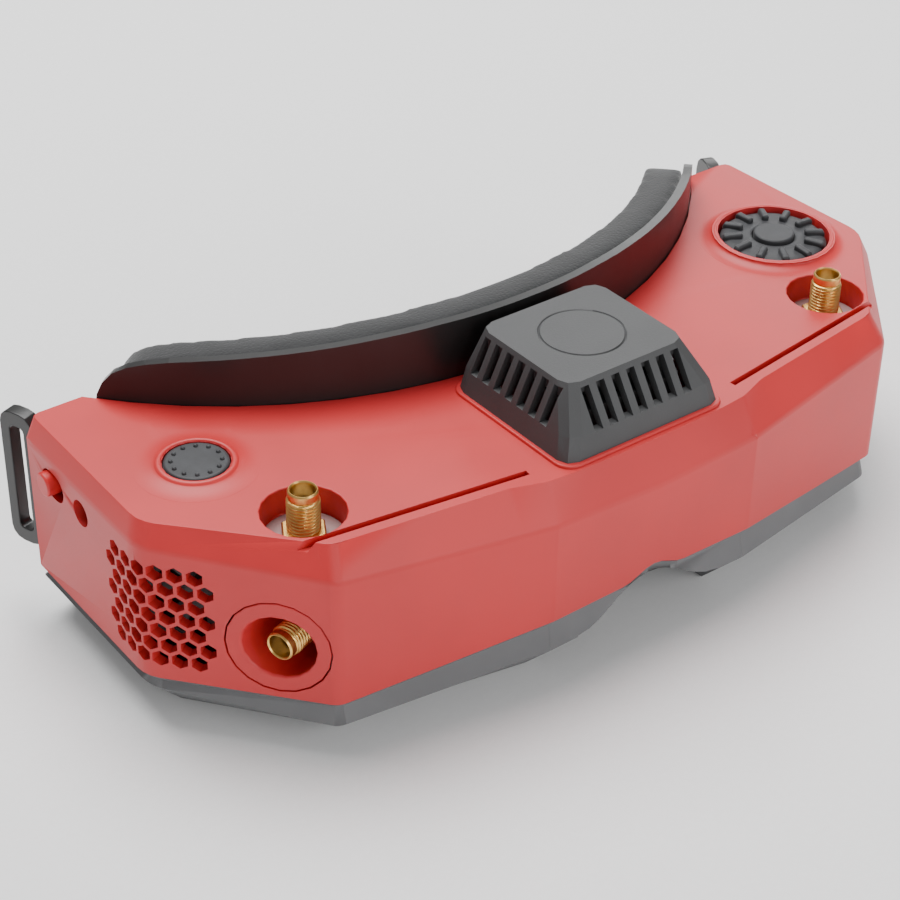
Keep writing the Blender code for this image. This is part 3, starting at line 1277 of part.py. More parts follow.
# ---- assembly ------------------------------------------------------------------------------
def build_goggles():
    red = make_material("red_plastic", (0.50, 0.085, 0.075), 0.42)
    bright_red = make_material("slider_red", (0.58, 0.03, 0.03), 0.4)
    grey = make_material("grey_plastic", (0.085, 0.085, 0.088), 0.5)
    black = make_material("black_plastic", (0.03, 0.027, 0.027), 0.4)
    foam = make_material("pad_foam", (0.09, 0.09, 0.095), 0.9)
    rubber = make_material("control_rubber", (0.045, 0.045, 0.05), 0.6)
    brass = make_material("gold_plate", (0.72, 0.48, 0.18), 0.25, 1.0)
    white = make_material("insulator_white", (0.8, 0.8, 0.76), 0.5)
    steel = make_material("steel", (0.55, 0.55, 0.56), 0.3, 1.0)
    aluminium = make_material("aluminium", (0.6, 0.6, 0.62), 0.35, 1.0)
    green = make_material("board_green", (0.02, 0.11, 0.05), 0.5)
    glass = make_material("lens_glass", (0.7, 0.75, 0.85), 0.05)
    screen = make_material("screen_black", (0.01, 0.01, 0.015), 0.1)

    build_upper_housing(red)
    build_lower_cover(grey)
    build_cover_screws(steel)
    build_face(black, foam)
    build_fan_cover(grey)
    build_fans(black, grey)
    build_jacks(brass, white, red)
    build_dial(rubber, rubber, green)
    build_record_button(rubber, green)
    build_power_slide(bright_red, black)
    build_sockets(black, steel)
    build_electronics(green, aluminium)
    build_optics(black, glass, screen, rubber, steel)
    build_strap_loops(black)


def stand_on_base():
    """Move the assembly so that it stands on Z = 0 with its outline centred on the origin."""
    bpy.context.view_layer.update()
    shown = [item for item in bpy.data.objects if item.type == "MESH" and not item.hide_render]
    corners = [item.matrix_world @ vertex.co for item in shown for vertex in item.data.vertices]
    front = min(corner.y for corner in corners)
    rear = max(corner.y for corner in corners)
    ORIGIN.location = (0.0, -(front + rear) / 2.0, BASE_DROP)


clear_scene()
ORIGIN = make_empty("goggles", (0.0, 0.0, 0.0))
build_goggles()
stand_on_base()
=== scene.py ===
"""Head-worn video goggles for flying model aircraft: the finished look of every piece.

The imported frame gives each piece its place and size. Hard mouldings are copies of the frame's
solids with their edges broken, and the foam pad and threaded sockets are modelled anew.
"""

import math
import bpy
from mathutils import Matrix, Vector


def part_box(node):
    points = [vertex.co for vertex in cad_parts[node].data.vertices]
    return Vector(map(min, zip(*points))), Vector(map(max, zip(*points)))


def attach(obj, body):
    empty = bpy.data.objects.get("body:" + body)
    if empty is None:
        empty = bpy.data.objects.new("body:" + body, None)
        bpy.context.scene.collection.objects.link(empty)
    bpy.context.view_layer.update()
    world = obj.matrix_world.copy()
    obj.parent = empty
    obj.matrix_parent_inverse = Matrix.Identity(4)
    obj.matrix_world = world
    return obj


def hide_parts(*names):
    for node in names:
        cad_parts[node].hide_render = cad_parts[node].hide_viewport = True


bl_info = {
    "name": "Video Goggles",
    "version": (1, 0, 0),
    "blender": (4, 5, 0),
    "location": "View3D > Sidebar > Goggles",
    "description": "Builds head-worn video goggles with fans, sockets, a dial and a foam pad",
    "category": "Add Mesh",
}

import bmesh
import bpy
from bpy.props import FloatProperty, FloatVectorProperty, PointerProperty
from mathutils import Matrix, Vector

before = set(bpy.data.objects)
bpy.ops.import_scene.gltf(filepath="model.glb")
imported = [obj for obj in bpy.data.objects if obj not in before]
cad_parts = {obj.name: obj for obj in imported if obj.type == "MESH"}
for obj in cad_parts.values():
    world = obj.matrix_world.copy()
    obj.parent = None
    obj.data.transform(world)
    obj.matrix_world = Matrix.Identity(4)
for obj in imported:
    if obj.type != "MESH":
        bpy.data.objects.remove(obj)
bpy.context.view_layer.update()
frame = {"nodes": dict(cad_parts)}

MM = 0.001
UP = Vector((0.0, 0.0, 1.0))
SIDES = {"left": 1.0, "right": -1.0}

# Places that the frame's boxes don't give, in its own axes.
TOP_PLANE = 46.0 * MM
TOP_JACK_BASE = Vector((65.9, -21.329, 42.3)) * MM
SIDE_JACK_AXIS = Vector((0.94088, -0.33874, 0.0))
SIDE_JACK_BASE = Vector((68.266, -24.922, 23.7)) * MM
CUP_CENTRE = Vector((76.464, -27.873, 23.7)) * MM
CUP_AXIS = Vector((0.76604, -0.64279, 0.0))
FACE_CENTRE = 98.071 * MM
FACE_RADIUS = 101.0 * MM
RIM_LINE = ((0.0, 58.9), (20.0, 58.7), (32.0, 58.2), (43.0, 57.5), (53.0, 56.8), (62.0, 56.0),
            (67.0, 55.4), (70.4, 54.6), (73.0, 53.5), (75.0, 51.9), (76.4, 49.5), (77.2, 46.8),
            (77.6, 43.0))
RIM_FOOT = 42.0 * MM
RIM_REACH = 2.2 * MM
PAD_INSET = 1.2
BROW_LINE = ((0.0, -41.1 * MM), (25.2 * MM, -40.2 * MM), (67.5 * MM, -32.7 * MM),
             (91.5 * MM, -6.6 * MM))
WAIST_LINE = ((0.0, 37.2 * MM), (25.2 * MM, 38.5 * MM), (69.2 * MM, 40.1 * MM), (93.2 * MM, 41.7 * MM))


# ---- sizes and colours a user may change --------------------------------------------------------
def colour(name, description, value):
    return FloatVectorProperty(name=name, description=description, default=value, size=3,
                               subtype="COLOR", min=0.0, max=1.0)


def length(name, description, value):
    return FloatProperty(name=name, description=description, default=value, min=0.0,
                         unit="LENGTH", precision=5)


class GOGGLES_colours(bpy.types.PropertyGroup):
    shell: colour("Shell", "Painted upper housing", (0.52, 0.024, 0.026))
    slider: colour("Slider", "Power slide cap", (0.58, 0.018, 0.02))
    cover: colour("Cover", "Lower cover and fan cover", (0.110, 0.112, 0.116))
    frame: colour("Frame", "Face frame and fans", (0.011, 0.011, 0.011))
    foam: colour("Foam", "Face pad", (0.013, 0.0135, 0.0145))
    rubber: colour("Rubber", "Dial and buttons", (0.027, 0.028, 0.031))
    gold: colour("Gold", "Antenna sockets", (0.80, 0.50, 0.16))
    insulator: colour("Insulator", "Core of the antenna sockets", (0.80, 0.78, 0.70))


class GOGGLES_sizes(bpy.types.PropertyGroup):
    shell_edge: length("Shell edge", "Radius along the shell's outer edges", 1.1 * MM)
    side_edge: length("Side edge", "Radius of the shell's crown along its sides", 1.7 * MM)
    waist_edge: length("Waist edge", "Radius where the sloping band meets the walls", 1.6 * MM)
    well_edge: length("Well edge", "Radius round the socket wells", 0.6 * MM)
    cut_edge: length("Cut edge", "Radius along cuts in the shell", 0.15 * MM)
    cup_lip: length("Cup lip", "Radius round the mouths of the antenna cups", 1.5 * MM)
    cover_edge: length("Cover edge", "Radius along the covers' outer edges", 0.7 * MM)
    thread_pitch: length("Thread pitch", "Rise of the antenna thread in one turn", 0.706 * MM)
    thread_depth: length("Thread depth", "Height of the antenna thread", 0.36 * MM)
    foam_swell: length("Foam swell", "Furthest that the foam may swell", 1.0 * MM)


# ---- shading ------------------------------------------------------------------------------------
class Signal:
    """A node's output that takes part in Python arithmetic."""

    def __init__(self, shade, socket):
        self.shade = shade
        self.socket = socket

    def math(self, operation, *values):
        return self.shade.node("ShaderNodeMath", {"operation": operation}, dict(enumerate(values)))

    def __add__(self, other):
        return self.math("ADD", self, other)

    def __radd__(self, other):
        return self.math("ADD", other, self)

    def __sub__(self, other):
        return self.math("SUBTRACT", self, other)

    def __rsub__(self, other):
        return self.math("SUBTRACT", other, self)

    def __mul__(self, other):
        return self.math("MULTIPLY", self, other)

    def __rmul__(self, other):
        return self.math("MULTIPLY", other, self)

    def between(self, low, high):
        """0 below low, 1 above high, with a soft step between them."""
        return self.shade.node("ShaderNodeMapRange", {"interpolation_type": "SMOOTHSTEP"},
                               {"Value": self, "From Min": low, "From Max": high})


class Shade:
    """One material: a Principled surface on the piece's own coordinates."""

    def __init__(self, name, **constants):
        self.material = bpy.data.materials.new(name)
        self.material.use_nodes = True
        self.tree = self.material.node_tree
        self.surface = self.tree.nodes["Principled BSDF"]
        for key, value in constants.items():
            self.surface.inputs[key.replace("_", " ").title().replace("Ior", "IOR")].default_value = value
        self.place = self.node("ShaderNodeTexCoord", output="Object")

    def node(self, kind, settings=None, sockets=None, output=0):
        made = self.tree.nodes.new(kind)
        for key, value in (settings or {}).items():
            setattr(made, key, value)
        for key, value in (sockets or {}).items():
            self.plug(made.inputs[key], value)
        return Signal(self, made.outputs[output])

    def plug(self, socket, value):
        if isinstance(value, Signal):
            self.tree.links.new(value.socket, socket)
        else:
            socket.default_value = value

    def set(self, **values):
        for key, value in values.items():
            self.plug(self.surface.inputs[key.replace("_", " ")], value)
        return self

    def noise(self, scale, detail=2.0, roughness=0.5, place=None):
        return self.node("ShaderNodeTexNoise", {},
                         {"Vector": place or self.place, "Scale": scale, "Detail": detail,
                          "Roughness": roughness})

    def cells(self, scale, feature="F1"):
        return self.node("ShaderNodeTexVoronoi", {"feature": feature},
                         {"Vector": self.place, "Scale": scale}, "Distance")

    def stretched(self, x, y, z):
        return self.node("ShaderNodeMapping", {}, {"Vector": self.place, "Scale": (x, y, z)})

    def mix(self, factor, low, high):
        """A colour that runs from low to high as factor runs from 0 to 1."""
        return self.node("ShaderNodeMix", {"data_type": "RGBA"},
                         {0: factor, 6: rgba(low), 7: rgba(high)}, 2)

    def bump(self, height, depth, strength=1.0):
        return self.node("ShaderNodeBump", {},
                         {"Strength": strength, "Distance": depth, "Height": height})


def rgba(value):
    return value if isinstance(value, Signal) else (*value, 1.0)


def scaled(value, share):
    return tuple(min(1.0, part * share) for part in value)


def shell_finish(name, paint):
    """Satin paint over a finely textured moulding."""
    shade = Shade(name, specular_ior_level=0.42)
    cloud = shade.noise(42.0, 3.0)
    grain = shade.noise(3600.0, 2.0, 0.6)
    shade.set(Base_Color=shade.mix(cloud.between(0.3, 0.7), scaled(paint, 0.95), scaled(paint, 1.04)),
              Roughness=0.36 + 0.05 * cloud + 0.08 * grain,
              Normal=shade.bump(grain, 0.010 * MM, 0.8))
    return shade.material


def grained_finish(name, plastic, rough, cell=2600.0, depth=0.02 * MM, level=0.5):
    """Bare moulded plastic with a spark-eroded grain."""
    shade = Shade(name, specular_ior_level=level)
    cloud = shade.noise(60.0, 3.0)
    grain = shade.noise(cell, 3.0, 0.65)
    shade.set(Base_Color=shade.mix(cloud.between(0.25, 0.75), scaled(plastic, 0.9), scaled(plastic, 1.12)),
              Roughness=rough - 0.05 + 0.08 * cloud + 0.10 * grain,
              Normal=shade.bump(grain, depth))
    return shade.material


def foam_finish(name, foam):
    """Skinned foam: fine open pores under a soft nap."""
    shade = Shade(name, specular_ior_level=0.3, sheen_weight=0.35, sheen_roughness=0.5)
    cloud = shade.noise(110.0, 3.0)
    pores = shade.cells(1500.0)
    nap = shade.noise(5200.0, 2.0, 0.7)
    shade.set(Base_Color=shade.mix(cloud.between(0.25, 0.75), scaled(foam, 0.85), scaled(foam, 1.2)),
              Roughness=0.70 + 0.18 * nap,
              Normal=shade.bump(0.65 * pores.between(0.0, 0.7) + 0.35 * nap, 0.06 * MM))
    return shade.material


def rubber_finish(name, rubber):
    """Soft-touch rubber with a dusty bloom."""
    shade = Shade(name, specular_ior_level=0.4, sheen_weight=0.12, sheen_roughness=0.4)
    bloom = shade.noise(220.0, 4.0, 0.6)
    grain = shade.noise(4200.0, 2.0)
    shade.set(Base_Color=shade.mix(bloom.between(0.35, 0.75), scaled(rubber, 0.85), scaled(rubber, 1.35)),
              Roughness=0.46 + 0.14 * bloom + 0.08 * grain,
              Normal=shade.bump(grain, 0.012 * MM))
    return shade.material


def metal_finish(name, metal, rough, streak=(900.0, 900.0, 5200.0)):
    """Turned metal: fine tool marks round the axis and a little tarnish."""
    shade = Shade(name, metallic=1.0)
    tarnish = shade.noise(420.0, 4.0, 0.6)
    marks = shade.noise(1.0, 2.0, 0.5, shade.stretched(*streak))
    shade.set(Base_Color=shade.mix(tarnish.between(0.45, 0.8), metal, scaled(metal, 0.72)),
              Roughness=rough + 0.10 * tarnish + 0.06 * marks,
              Normal=shade.bump(marks, 0.004 * MM))
    return shade.material


def glass_finish(name):
    """Coated lens glass with a dark depth behind it."""
    shade = Shade(name, transmission_weight=0.55, ior=1.52, coat_tint=(0.75, 0.8, 1.0, 1.0))
    film = shade.noise(90.0, 2.0)
    shade.set(Base_Color=shade.mix(film, (0.02, 0.03, 0.06), (0.05, 0.04, 0.09)),
              Roughness=0.03 + 0.03 * film, Coat_Weight=0.6 + 0.3 * film)
    return shade.material


def board_finish(name):
    """Solder mask with faint copper tracks under it."""
    shade = Shade(name, specular_ior_level=0.5)
    tracks = shade.node("ShaderNodeTexBrick", {"offset": 0.5},
                        {"Vector": shade.place, "Scale": 420.0, "Mortar Size": 0.03}, "Fac")
    shade.set(Base_Color=shade.mix(tracks, (0.012, 0.10, 0.035), (0.035, 0.20, 0.07)),
              Roughness=0.35 + 0.2 * shade.noise(500.0),
              Normal=shade.bump(tracks, 0.02 * MM))
    return shade.material


def make_finishes(tones):
    return {
        "shell": shell_finish("shell_paint", tones.shell),
        "slider": shell_finish("slider_paint", tones.slider),
        "cover": grained_finish("cover_plastic", tones.cover, 0.46),
        "fan_cover": grained_finish("fan_cover_plastic", scaled(tones.cover, 0.40), 0.50,
                                    2200.0, 0.03 * MM),
        "frame": grained_finish("frame_plastic", tones.frame, 0.30, 3200.0, 0.012 * MM, 0.55),
        "fan": grained_finish("fan_plastic", scaled(tones.frame, 1.3), 0.42),
        "rotor": grained_finish("rotor_plastic", scaled(tones.cover, 0.7), 0.4),
        "foam": foam_finish("foam_skin", tones.foam),
        "rubber": rubber_finish("control_rubber_skin", tones.rubber),
        "gold": metal_finish("gold_turned", tones.gold, 0.24),
        "insulator": grained_finish("insulator_core", scaled(tones.insulator, 0.55), 0.5),
        "steel": metal_finish("steel_turned", (0.56, 0.56, 0.57), 0.26),
        "aluminium": metal_finish("aluminium_fins", (0.66, 0.67, 0.69), 0.34, (4000.0, 600.0, 600.0)),
        "board": board_finish("board_mask"),
        "glass": glass_finish("lens_coating"),
        "screen": grained_finish("screen_glass", (0.006, 0.007, 0.012), 0.12, 900.0, 0.001 * MM),
        "well": shell_finish("well_plate", (0.30, 0.19, 0.185)),
    }


# ---- modelling helpers --------------------------------------------------------------------------
def only(item):
    """Select one object and make it active."""
    if bpy.context.mode != "OBJECT":
        bpy.ops.object.mode_set(mode="OBJECT")
    bpy.ops.object.select_all(action="DESELECT")
    item.select_set(True)
    bpy.context.view_layer.objects.active = item


def named(name):
    """Name the object that an operator has just added."""
    item = bpy.context.active_object
    item.name = name
    item.data.name = name
    return item


def edit(item):
    only(item)
    bpy.ops.object.mode_set(mode="EDIT")
    bpy.ops.mesh.select_mode(type="EDGE")


def leave():
    bpy.ops.object.mode_set(mode="OBJECT")


def settle(item):
    """Put the object's place and turn into its mesh."""
    only(item)
    bpy.ops.object.transform_apply(location=True, rotation=True, scale=True)
    return item


def modify(item, kind, **settings):
    """Add a modifier, set it and apply it."""
    only(item)
    modifier = item.modifiers.new(kind.lower(), kind)
    for key, value in settings.items():
        setattr(modifier, key, value)
    bpy.ops.object.modifier_apply(modifier=modifier.name)
    return item


def cut(item, cutter, operation="DIFFERENCE"):
    modify(item, "BOOLEAN", operation=operation, solver="EXACT", object=cutter)
    bpy.data.objects.remove(cutter)
    return item


def copy_of(node, name):
    """A piece that starts as a copy of a frame solid, with its triangles merged into flat faces."""
    source = frame["nodes"][node]
    item = bpy.data.objects.new(name, source.data.copy())
    bpy.context.scene.collection.objects.link(item)
    item.data.materials.clear()
    edit(item)
    bpy.ops.mesh.select_all(action="SELECT")
    bpy.ops.mesh.remove_doubles(threshold=0.002 * MM)
    bpy.ops.mesh.dissolve_degenerate(threshold=0.004 * MM)
    bpy.ops.mesh.select_all(action="SELECT")
    bpy.ops.mesh.dissolve_limited(angle_limit=math.radians(0.4))
    leave()
    return item


def select_edges(item, test, sharper=24.0):
    """Select the edges that turn by more than an angle and pass a test on their two ends."""
    bm = bmesh.from_edit_mesh(item.data)
    bpy.ops.mesh.select_all(action="DESELECT")
    found = 0
    for edge in bm.edges:
        sharp = len(edge.link_faces) == 2 and edge.calc_face_angle(0.0) > math.radians(sharper)
        if sharp and test(edge.verts[0].co, edge.verts[1].co):
            edge.select_set(True)
            found += 1
    bmesh.update_edit_mesh(item.data)
    return found


def break_edges(item, width, segments=2, test=lambda a, b: True, sharper=24.0):
    """Round the chosen edges of a piece."""
    edit(item)
    if select_edges(item, test, sharper):
        bpy.ops.mesh.bevel(offset_type="OFFSET", offset=width, segments=segments, profile=0.5,
                           affect="EDGES", clamp_overlap=True, miter_outer="SHARP")
    leave()
    return item


def smooth(item, angle=38.0):
    """Shade a hard piece so that its flats stay flat and its broken edges roll."""
    only(item)
    bpy.ops.object.shade_smooth_by_angle(angle=math.radians(angle))
    modify(item, "WEIGHTED_NORMAL", mode="FACE_AREA", weight=50, keep_sharp=True)
    return item


def finish_piece(item, material, body, slot, *nodes):
    """Give a new piece its finish, its body and the frame solids it stands for."""
    item.data.materials.clear()
    item.data.materials.append(material)
    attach(item, body)
    if nodes:
        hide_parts(*nodes)
    return item


def dress(node, material):
    """Give a frame solid that stays its finish."""
    for holder in frame["nodes"][node].material_slots:
        holder.material = material


def remake(node, material, body, slot, width, segments=2, sharper=24.0):
    """A moulding copied from its solid with every edge broken."""
    item = copy_of(node, node + "_moulding")
    break_edges(item, width, segments, sharper=sharper)
    smooth(item)
    return finish_piece(item, material, body, slot, node)


def turned(name, section, steps=48):
    """A ring or disc about Z, spun from its closed section of (radius, height) in millimetres."""
    only(frame["nodes"]["upper_housing"])
    bpy.ops.object.select_all(action="DESELECT")
    bpy.ops.mesh.primitive_circle_add(vertices=len(section), radius=MM)
    item = named(name)
    for vertex, (radius, height) in zip(item.data.vertices, section):
        vertex.co = (radius * MM, 0.0, height * MM)
    edit(item)
    bpy.ops.mesh.select_all(action="SELECT")
    bpy.ops.mesh.spin(steps=steps, angle=2.0 * math.pi, center=(0.0, 0.0, 0.0), axis=(0.0, 0.0, 1.0))
    bpy.ops.mesh.select_all(action="SELECT")
    bpy.ops.mesh.remove_doubles(threshold=0.002 * MM)
    bpy.ops.mesh.normals_make_consistent(inside=False)
    leave()
    return item


def block(name, low, high, round_by=0.0, segments=3):
    """A rounded block between two corners in millimetres."""
    only(frame["nodes"]["upper_housing"])
    bpy.ops.object.select_all(action="DESELECT")
    middle = (Vector(low) + Vector(high)) * 0.5 * MM
    bpy.ops.mesh.primitive_cube_add(size=1.0, location=middle,
                                    scale=(Vector(high) - Vector(low)) * MM)
    item = settle(named(name))
    if round_by:
        break_edges(item, round_by * MM, segments)
    return item


def around(item, count, radius=0.0):
    """Copies of a piece set round Z and joined; the first is moved out along X."""
    item.data.transform(Matrix.Translation((radius, 0.0, 0.0)))
    ring = [item]
    for i in range(1, count):
        other = bpy.data.objects.new(item.name, item.data.copy())
        bpy.context.scene.collection.objects.link(other)
        other.data.transform(Matrix.Rotation(2.0 * math.pi * i / count, 4, "Z"))
        ring.append(other)
    only(item)
    for other in ring:
        other.select_set(True)
    bpy.ops.object.join()
    return item


def along(line, x):
    """Height of a broken line at a distance from the middle."""
    for (x0, z0), (x1, z1) in zip(line, line[1:]):
        if x <= x1:
            return z0 + (z1 - z0) * (x - x0) / (x1 - x0)
    return line[-1][1]


def drawn_in(line, depth):
    """A rim line, even on both sides of the middle and upright at its end, moved in by a depth."""
    points = [(-line[1][0], line[1][1])] + list(line) + [(line[-1][0], line[-1][1] - 1.0)]
    moved = []
    for before, here, after in zip(points, points[1:], points[2:]):
        first = (Vector(here) - Vector(before)).normalized()
        second = (Vector(after) - Vector(here)).normalized()
        across = Vector((first.y + second.y, -first.x - second.x))
        moved.append(tuple(Vector(here) + across * (depth / (1.0 + first.dot(second)))))
    return moved


def centre_of(node):
    low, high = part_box(node)
    return (low + high) / 2.0


def turned_to(axis, place):
    """The frame whose Z runs along an axis at a place."""
    return Matrix.Translation(place) @ UP.rotation_difference(Vector(axis)).to_matrix().to_4x4()


def move_into(item, matrix):
    item.matrix_world = matrix @ item.matrix_world
    return settle(item)


# ---- pieces -------------------------------------------------------------------------------------
class GOGGLES_OT_housing(bpy.types.Operator):
    """Painted upper housing with its vents, wells and slots, and the two antenna cups"""
    bl_idname = "goggles.housing"
    bl_label = "Housing"

    def execute(self, context):
        sizes = context.scene.goggles_sizes
        shell = copy_of("upper_housing", "upper_housing_shell")
        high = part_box("upper_housing")[1]
        near = 0.05 * MM

        def on_top(point):
            return abs(point.z - TOP_PLANE) < near

        def in_wells(point):
            flat = Vector((abs(point.x), point.y, 0.0))
            return (flat - Vector((TOP_JACK_BASE.x, TOP_JACK_BASE.y, 0.0))).length < 8.1 * MM

        def in_vents(point):
            return (abs(point.x) > 70.0 * MM and point.y < high.y - 25.0 * MM
                    and point.z < TOP_PLANE - 8.0 * MM)

        def on_crown(a, b):
            middle = (a + b) / 2.0
            inner = (abs(middle.x) < 74.0 * MM
                     and middle.y > along(BROW_LINE, abs(middle.x)) + 2.2 * MM and middle.y < 0.0)
            controls = (abs(abs(middle.x) - 73.7 * MM) < 14.0 * MM and abs(middle.y) < 16.0 * MM)
            return (on_top(a) and on_top(b) and not in_wells(a) and not in_wells(b)
                    and not inner and not controls)

        def on_flank(a, b):
            return min(abs(a.x), abs(b.x)) > 66.5 * MM

        def on_waist(a, b):
            return all(abs(p.z - along(WAIST_LINE, abs(p.x))) < 0.2 * MM
                       and (p.y < -6.0 * MM or abs(p.x) > 92.0 * MM) for p in (a, b))

        break_edges(shell, sizes.waist_edge, 3, on_waist, 5.0)
        break_edges(shell, sizes.side_edge, 4, lambda a, b: on_crown(a, b) and on_flank(a, b), 15.0)
        break_edges(shell, sizes.shell_edge, 3, lambda a, b: on_crown(a, b) and not on_flank(a, b),
                    15.0)
        break_edges(shell, sizes.well_edge, 3,
                    lambda a, b: on_top(a) and on_top(b) and in_wells(a) and in_wells(b))
        break_edges(shell, sizes.cut_edge, 2,
                    lambda a, b: not in_vents(a) and not in_vents(b), 35.0)
        smooth(shell)
        finish_piece(shell, FINISHES["shell"], "housing", "red_plastic", "upper_housing")
        for side in SIDES:
            self.add_cup(side, sizes)
            self.add_well_floor(side)
        self.add_collar("dial_collar", "menu_dial", 12.15, 1.5, 16.4)
        self.add_collar("record_collar", "record_button", 6.5, 1.15, 12.0)
        self.add_fan_lip()
        return {"FINISHED"}

    def add_cup(self, side, sizes):
        """The round seat of a side socket, with a soft lip round its mouth."""
        cup = copy_of("antenna_cup_" + side, "antenna_cup_{}_seat".format(side))
        flip = Vector((SIDES[side], 1.0, 1.0))
        centre = CUP_CENTRE * flip
        axis = CUP_AXIS * flip

        def on_mouth(a, b):
            return all(abs((p - centre).dot(axis)) < 0.05 * MM and (p - centre).length < 9.6 * MM
                       for p in (a, b))

        break_edges(cup, sizes.cup_lip, 5, on_mouth, 10.0)
        break_edges(cup, 0.2 * MM, 2, lambda a, b: not on_mouth(a, b), 50.0)
        smooth(cup, 50.0)
        finish_piece(cup, FINISHES["shell"], "housing", "red_plastic", "antenna_cup_" + side)

    def add_well_floor(self, side):
        """The pale plate at the bottom of a top socket's well."""
        floor = turned("well_floor_" + side, ((3.3, 0.02), (7.75, 0.02), (7.75, 0.25), (7.5, 0.45),
                                              (3.5, 0.45), (3.3, 0.35)), 40)
        place = Vector((TOP_JACK_BASE.x * SIDES[side], TOP_JACK_BASE.y, 40.0 * MM))
        move_into(floor, Matrix.Translation(place))
        smooth(floor)
        finish_piece(floor, FINISHES["well"], "housing", "red_plastic")

    def add_collar(self, name, node, inner, rise, reach):
        """A rounded collar that flows down into the top of the shell."""
        crest = ((0.0, 0.55), (0.06, 0.80), (0.22, 0.95), (0.50, 1.0), (0.80, 0.97), (1.05, 0.86),
                 (1.25, 0.66), (1.40, 0.50))
        section = [(inner, -1.0)]
        section += [(inner + across, rise * share) for across, share in crest]
        start = section[-1][0]
        for i in range(1, 8):
            share = i / 7.0
            section.append((start + (reach - start) * share,
                            rise * 0.5 * (1.0 - share) ** 2.4 + 0.015))
        section += [(reach, -0.1), (inner + 1.6, -0.4), (inner + 1.2, -1.0)]
        collar = turned(name, section, 72)
        middle = centre_of(node)
        move_into(collar, Matrix.Translation((middle.x, middle.y, TOP_PLANE)))
        smooth(collar, 60.0)
        finish_piece(collar, FINISHES["shell"], "housing", "red_plastic")

    def add_fan_lip(self):
        """The low bead that the fan cover sits in."""
        low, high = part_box("fan_cover")
        grow = 0.75
        corner = (low / MM - Vector((grow, grow, 0.0)), high / MM + Vector((grow, grow, 0.0)))
        lip = block("fan_cover_lip", (corner[0].x, corner[0].y, 45.8),
                    (corner[1].x, corner[1].y, 46.62))
        break_edges(lip, 3.6 * MM, 6, lambda a, b: abs(a.z - b.z) > 0.5 * MM)
        hole = block("lip_hole", (corner[0].x + 1.4, corner[0].y + 1.4, 45.0),
                     (corner[1].x - 1.4, corner[1].y - 1.4, 48.0))
        break_edges(hole, 2.4 * MM, 6, lambda a, b: abs(a.z - b.z) > 0.5 * MM)
        cut(lip, hole)
        break_edges(lip, 0.3 * MM, 3, lambda a, b: min(a.z, b.z) > 46.5 * MM)
        smooth(lip)
        finish_piece(lip, FINISHES["shell"], "housing", "red_plastic")


class GOGGLES_OT_lower_cover(bpy.types.Operator):
    """Grey lower cover and its four screws"""
    bl_idname = "goggles.lower_cover"
    bl_label = "Lower Cover"

    def execute(self, context):
        cover = copy_of("lower_cover", "lower_cover_moulding")
        edge = context.scene.goggles_sizes.cover_edge
        break_edges(cover, edge, 3, lambda a, b: (a - b).length > 2.5 * MM, 30.0)
        smooth(cover)
        finish_piece(cover, FINISHES["cover"], "housing", "grey_plastic", "lower_cover")
        for row in ("front", "rear"):
            for side in SIDES:
                dress("cover_screw_{}_{}".format(row, side), FINISHES["steel"])
        return {"FINISHED"}


class GOGGLES_OT_face(bpy.types.Operator):
    """Face frame and the foam pad glued to it"""
    bl_idname = "goggles.face"
    bl_label = "Face Frame and Pad"

    def execute(self, context):
        rim = copy_of("face_frame", "face_frame_moulding")
        self.even_out(rim, RIM_LINE)
        break_edges(rim, 0.5 * MM, 3)
        smooth(rim)
        finish_piece(rim, FINISHES["frame"], "housing", "black_plastic", "face_frame")
        pad = copy_of("face_pad", "face_pad_foam")
        self.even_out(pad, drawn_in(RIM_LINE, PAD_INSET))
        self.swell(pad, context.scene.goggles_sizes.foam_swell)
        finish_piece(pad, FINISHES["foam"], "housing", "pad_foam", "face_pad")
        return {"FINISHED"}

    def even_out(self, item, line):
        """Put the upper rim of a plate bent round the face on one smooth line."""
        for vertex in item.data.vertices:
            point = vertex.co
            radius = math.hypot(point.x, point.y - FACE_CENTRE)
            reach = FACE_RADIUS * abs(point.x) / radius / MM
            height = along(line, reach) * MM
            if reach <= line[-1][0] and point.z > RIM_FOOT and abs(point.z - height) < RIM_REACH:
                point.z = height

    def swell(self, pad, cap):
        """Fill the foam with air as cloth, then cap how far any point may move."""
        modify(pad, "REMESH", mode="VOXEL", voxel_size=0.7 * MM, use_smooth_shade=True)
        modify(pad, "SMOOTH", factor=0.5, iterations=14)
        start = [vertex.co.copy() for vertex in pad.data.vertices]
        cloth = pad.modifiers.new("cloth", "CLOTH")
        cloth.settings.use_pressure = True
        cloth.settings.uniform_pressure_force = 4.0
        cloth.settings.effector_weights.gravity = 0.0
        cloth.settings.tension_stiffness = 20.0
        cloth.settings.mass = 0.2
        cloth.point_cache.frame_end = 20
        for step in range(1, 21):
            bpy.context.scene.frame_set(step)
        only(pad)
        bpy.ops.object.modifier_apply(modifier="cloth")
        bpy.context.scene.frame_set(1)
        for vertex, place in zip(pad.data.vertices, start):
            shift = vertex.co - place
            if shift.length > cap:
                vertex.co = place + shift.normalized() * cap
        modify(pad, "SMOOTH", factor=0.5, iterations=3)
        only(pad)
        bpy.ops.object.shade_smooth()


